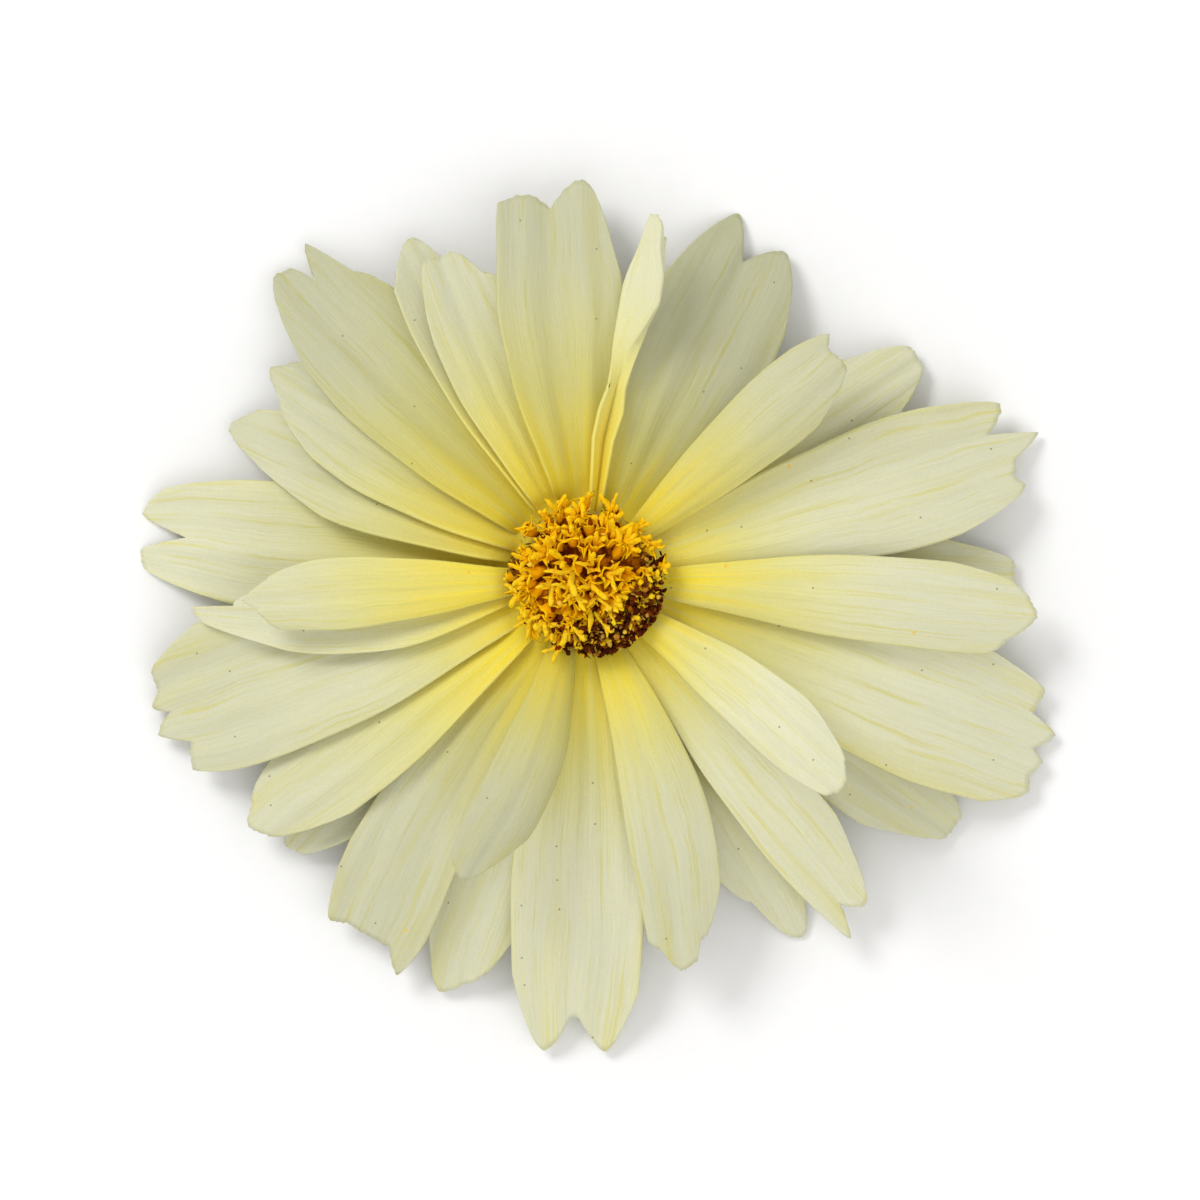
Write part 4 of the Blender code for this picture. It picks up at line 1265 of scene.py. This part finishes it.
# %% Anther tubes
ANTHER_SIDES = 8
ANTHER_SHARE = 0.50
ANTHER_SIZES = (0.75, 1.0)
ANTHER_RADII = (0.18, 0.22, 0.25, 0.22, 0.08)
ANTHER_HEIGHTS = (0.5, 1.0, 1.5, 1.85, 2.0)
UNOPENED_SHARE = 0.3
ANTHER_CRUMPLES = (Crumple(0.07, 3.0),)
ANTHER_DARK = (0.10, 0.008, 0.001, 1)
ANTHER_MAROON = (0.32, 0.05, 0.002, 1)
ANTHER_DUST = (0.80, 0.36, 0.004, 1)
DUST_SHARE = 0.7


def add_anther(bm, floret, draw):
    size = floret.size * draw.uniform(*ANTHER_SIZES)
    path = [(0, 0, height * size) for height in ANTHER_HEIGHTS]
    radii = [radius * size for radius in ANTHER_RADII]
    if draw.uniform(0, 1) < ANTHER_SHARE and floret.share > UNOPENED_SHARE:
        settle_part(bm, grow_tube(bm, ANTHER_SIDES, path, radii), floret)


def anther_finish():
    finish = Finish("anther_maroon", {"Roughness": 0.8, "Specular IOR Level": 0.05})
    powder = finish.noise(finish.object_place(), scale=4200.0, detail=3.0)
    color = finish.mix(powder, ANTHER_DARK, ANTHER_MAROON)
    color = finish.mix(finish.rise(powder, 0.60, 0.78) * DUST_SHARE, color, ANTHER_DUST)
    return finish.finish_with({"Base Color": color,
                               "Normal": finish.bump(powder, distance=0.06 * MM)})


anthers = add_crowd("disc_anthers", 2, disc_florets, add_anther, ANTHER_CRUMPLES, anther_finish())

# %% [markdown]
# ## Styles with their two arms
# Out of most florets grows a style that forks in two stout arms with blunt, dusty ends. Seen from
# above they are what makes the disc look like a heap of small yellow fingers. They are longest at
# the top rim and in the lower half. An old floret has nearly always lost its style.

# %% Style arms
ARM_SIDES = 7
ARM_STEPS = 7
ARM_RADIUS = 0.175
ARM_RADII = (0.85, 1.30)
ARM_LENGTH = 1.90
ARM_LENGTHS = (0.6, 1.15)
ARM_GAP = 0.03
ARM_SPREADS = (0.25, 1.15)
ARM_LIFT = 0.30
ARM_LIFTS = (-0.3, 1.0)
ARM_TURN = 0.5
ARM_CLUBS = (-0.3, 0.4)
STYLE_START = 0.80
STYLE_SHARE = 0.85
STYLE_LOST = 0.95
RIM_STRAIGHT = 0.45
RIM_ARM_SHORTER = 0.58
LONG_SIDES = (math.radians(95), math.radians(-115))
LONG_REACH = 0.35


def arm_path(start, spread, length, side, lift):
    """From the axis a little way up, then out to one side and a little upwards."""
    x = 0.0
    y = ARM_GAP * side
    z = start
    path = []
    for step in range(ARM_STEPS + 1):
        path.append((x, y, z))
        share = step / ARM_STEPS
        lean = spread * min(1.0, 0.1 + 1.5 * share)
        x -= length / ARM_STEPS * lift * share
        y += side * length / ARM_STEPS * math.sin(lean)
        z += length / ARM_STEPS * math.cos(lean)
    return path


def arm_radii(thick, draw):
    """Nearly even, then a blunt end that is a little thicker or thinner."""
    club = draw.uniform(*ARM_CLUBS)
    radii = [thick * (0.80 + club * (step / ARM_STEPS) ** 3) for step in range(ARM_STEPS)]
    return radii + [thick * (0.45 + 0.5 * club)]


def add_style(bm, floret, draw):
    long_side = max(math.cos(floret.turn - side) for side in LONG_SIDES)
    length = ARM_LENGTH * draw.uniform(*ARM_LENGTHS) * (1 + LONG_REACH * max(0.0, long_side))
    length *= (1 - OLD_SHORTER * floret.age) * (1 - RIM_ARM_SHORTER * floret.share ** 2)
    thick = ARM_RADIUS * draw.uniform(*ARM_RADII)
    straight = 1 - RIM_STRAIGHT * floret.share
    turn = Matrix.Rotation(draw.normal() * ARM_TURN, 4, "Z")
    if draw.uniform(0, 1) < STYLE_SHARE * (1 - STYLE_LOST * floret.age):
        for side in (-1, 1):
            spread = draw.uniform(*ARM_SPREADS) * straight
            lift = draw.uniform(*ARM_LIFTS) * ARM_LIFT
            path = arm_path(STYLE_START * floret.size, spread, length, side, lift)
            made = grow_tube(bm, ARM_SIDES, path, arm_radii(thick, draw))
            turn_part(bm, made, turn)
            settle_part(bm, made, floret)


print("an arm has", ARM_SIDES * ARM_STEPS + 1, "faces")

# %% [markdown]
# ## Finish of the styles
# The arms are a rich yellow that is lighter towards their ends, and paler in the lower half of the
# disc. A fine noise puts dust on their bumps and painted shade, a deep orange, in the hollows
# between them.

# %% Style finish
STYLE_FOOT = (0.92, 0.46, 0.003, 1)
STYLE_YELLOW = (1.0, 0.62, 0.006, 1)
STYLE_PALE = (0.90, 0.63, 0.02, 1)
STYLE_DUST = (0.93, 0.66, 0.05, 1)
# Painted shade for the hollows between the arms' bumps.
STYLE_HOLLOW_SHADE = (0.62, 0.24, 0.003, 1)
PALE_SHARE = 0.7
STYLE_DUST_SHARE = 0.4
HOLLOW_SHADE_SHARE = 0.5
PALE_RISE = (1.0, 3.5)
PALE_JITTER = 3.0
STYLE_CRUMPLES = (Crumple(0.15, 1.8), Crumple(0.10, 5.5))


def style_finish():
    finish = Finish("style_yellow", {"Roughness": 0.8, "Specular IOR Level": 0.03})
    seed = finish.kept("seed")
    up = finish.kept("up")
    dots = finish.noise(finish.object_place(), scale=4600.0)
    color = finish.mix(finish.rise(up + seed * 0.5, 0.1, 1.0), STYLE_FOOT, STYLE_YELLOW)
    down = finish.node("SeparateXYZ", {}, {"Vector": finish.object_place()}, output=1) / MM
    pale = finish.rise(down + (seed - 0.5) * PALE_JITTER, *PALE_RISE, 1.0, 0.0)
    color = finish.mix(pale * PALE_SHARE, color, STYLE_PALE)
    color = finish.mix(finish.rise(dots, 0.52, 0.72) * STYLE_DUST_SHARE, color, STYLE_DUST)
    # Painted shade: a deep orange in the hollows of the bump.
    hollow_shade = finish.rise(dots, 0.30, 0.44, 1.0, 0.0) * HOLLOW_SHADE_SHARE
    color = finish.mix(hollow_shade, color, STYLE_HOLLOW_SHADE)
    return finish.finish_with({"Base Color": color,
                               "Normal": finish.bump(dots, distance=0.07 * MM)})


styles = add_crowd("disc_styles", 3, disc_florets, add_style, STYLE_CRUMPLES, style_finish())

# %% [markdown]
# ## Pollen and withered crumbs
# The old florets have dried to crumbs: dark brown husks with bits of tan and grains of pollen. Each
# crumb is an icosphere of twenty faces, squashed and turned by a seeded draw. Most lie on the old
# crescent, a few on spots at the left and right rims, and single grains lie about the disc.

# %% Crumbs
Patch = namedtuple("Patch", "count middle spread inner outer low high old")
CRUMB_PATCHES = [
    Patch(620, -57, 54, 3.0, 5.2, 0.30, 1.40, 1.0),
    Patch(80, 174, 16, 3.9, 5.1, 0.20, 1.10, 0.9),
    Patch(45, 25, 12, 3.8, 4.7, 0.30, 1.10, 0.9),
    Patch(60, 0, 360, 0.4, 4.9, 0.50, 1.30, 0.0),
    Patch(330, -52, 52, 4.1, 5.15, 0.05, 0.60, 1.0),
]
CRUMB_RADIUS = 0.145
CRUMB_SIZES = (0.5, 1.25)
CRUMB_STRETCH = (0.35, 1.9)
CRUMBS_FALL_FROM = 4.2
CRUMB_CRUMPLES = (Crumple(0.09, 5.0),)
HUSK_STOPS = [(0.0, (0.03, 0.004, 0.001, 1)), (0.55, (0.13, 0.022, 0.002, 1)),
              (0.76, (0.40, 0.14, 0.004, 1)), (0.90, (0.55, 0.32, 0.06, 1)),
              (0.97, (0.84, 0.48, 0.01, 1))]
POLLEN_DEEP = (0.86, 0.42, 0.01, 1)
POLLEN_PALE = (0.92, 0.62, 0.06, 1)


def add_crumb(bm, patch, draw):
    turn = math.radians(patch.middle + draw.normal() * patch.spread / 2)
    radius = draw.uniform(patch.inner, patch.outer)
    height = dome_height(radius) + draw.uniform(patch.low, patch.high)
    height -= max(0, radius - CRUMBS_FALL_FROM)
    place = Vector((radius * math.cos(turn), radius * math.sin(turn), height)) * MM
    shape = Matrix.Diagonal((*draw.uniform(*CRUMB_STRETCH, 3), 1))
    spin = Matrix.Rotation(draw.uniform(0, 2 * math.pi), 4, Vector(draw.normal(size=3)))
    size = CRUMB_RADIUS * draw.uniform(*CRUMB_SIZES) * MM
    crumb = bmesh.ops.create_icosphere(bm, subdivisions=1, radius=size,
                                       matrix=Matrix.Translation(place) @ spin @ shape)["verts"]
    seed, age = [bm.verts.layers.float[name] for name in KEPT[:2]]
    tone = draw.uniform(0, 1)
    for vert in crumb:
        vert[seed] = tone
        vert[age] = patch.old


def crumb_finish():
    finish = Finish("crumb_brown", {"Roughness": 0.9, "Specular IOR Level": 0.05})
    seed = finish.kept("seed")
    husk = finish.node("ValToRGB", {"stops": HUSK_STOPS}, {"Fac": seed})
    pollen = finish.mix(seed, POLLEN_DEEP, POLLEN_PALE)
    return finish.finish_with({"Base Color": finish.mix(finish.kept("age"), pollen, husk)})


crumb_patches = [patch for patch in CRUMB_PATCHES for number in range(patch.count)]
crumbs = add_crowd("disc_crumbs", 4, crumb_patches, add_crumb, CRUMB_CRUMPLES, crumb_finish())

# %% [markdown]
# ## Bracts and stem
# The green bracts and the stub of stem under the flower keep their solids, whose shapes are right.
# Each gets its own two greens, which a fine and a broad noise mix: straw green for the inner
# bracts, leaf green for the outer ones, and the green of a stalk for the stem.

# %% Green finishes
Green = namedtuple("Green", "name dark light scale")
GREENS = {
    "inner_bracts": Green("bract_straw", (0.30, 0.30, 0.08, 1), (0.52, 0.48, 0.18, 1), 1500),
    "outer_bracts": Green("bract_leaf", (0.09, 0.17, 0.03, 1), (0.20, 0.32, 0.08, 1), 1500),
    "stem": Green("stalk_green", (0.17, 0.26, 0.06, 1), (0.34, 0.44, 0.14, 1), 1800),
}
BROADER = 5


def green_finish(green):
    finish = Finish(green.name, {"Specular IOR Level": 0.4})
    place = finish.object_place()
    cells = finish.noise(place, green.scale, detail=4.0)
    broad = finish.noise(place, green.scale / BROADER)
    share = finish.rise(cells * 0.5 + broad * 0.5, 0.35, 0.65)
    return finish.finish_with({"Base Color": finish.mix(share, green.dark, green.light),
                               "Roughness": 0.42 + 0.2 * cells,
                               "Normal": finish.bump(cells, distance=0.05 * MM)})


for node_name, green in GREENS.items():
    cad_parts[node_name].material_slots[0].material = green_finish(green)
print("green solids:", ", ".join(GREENS))

# %% [markdown]
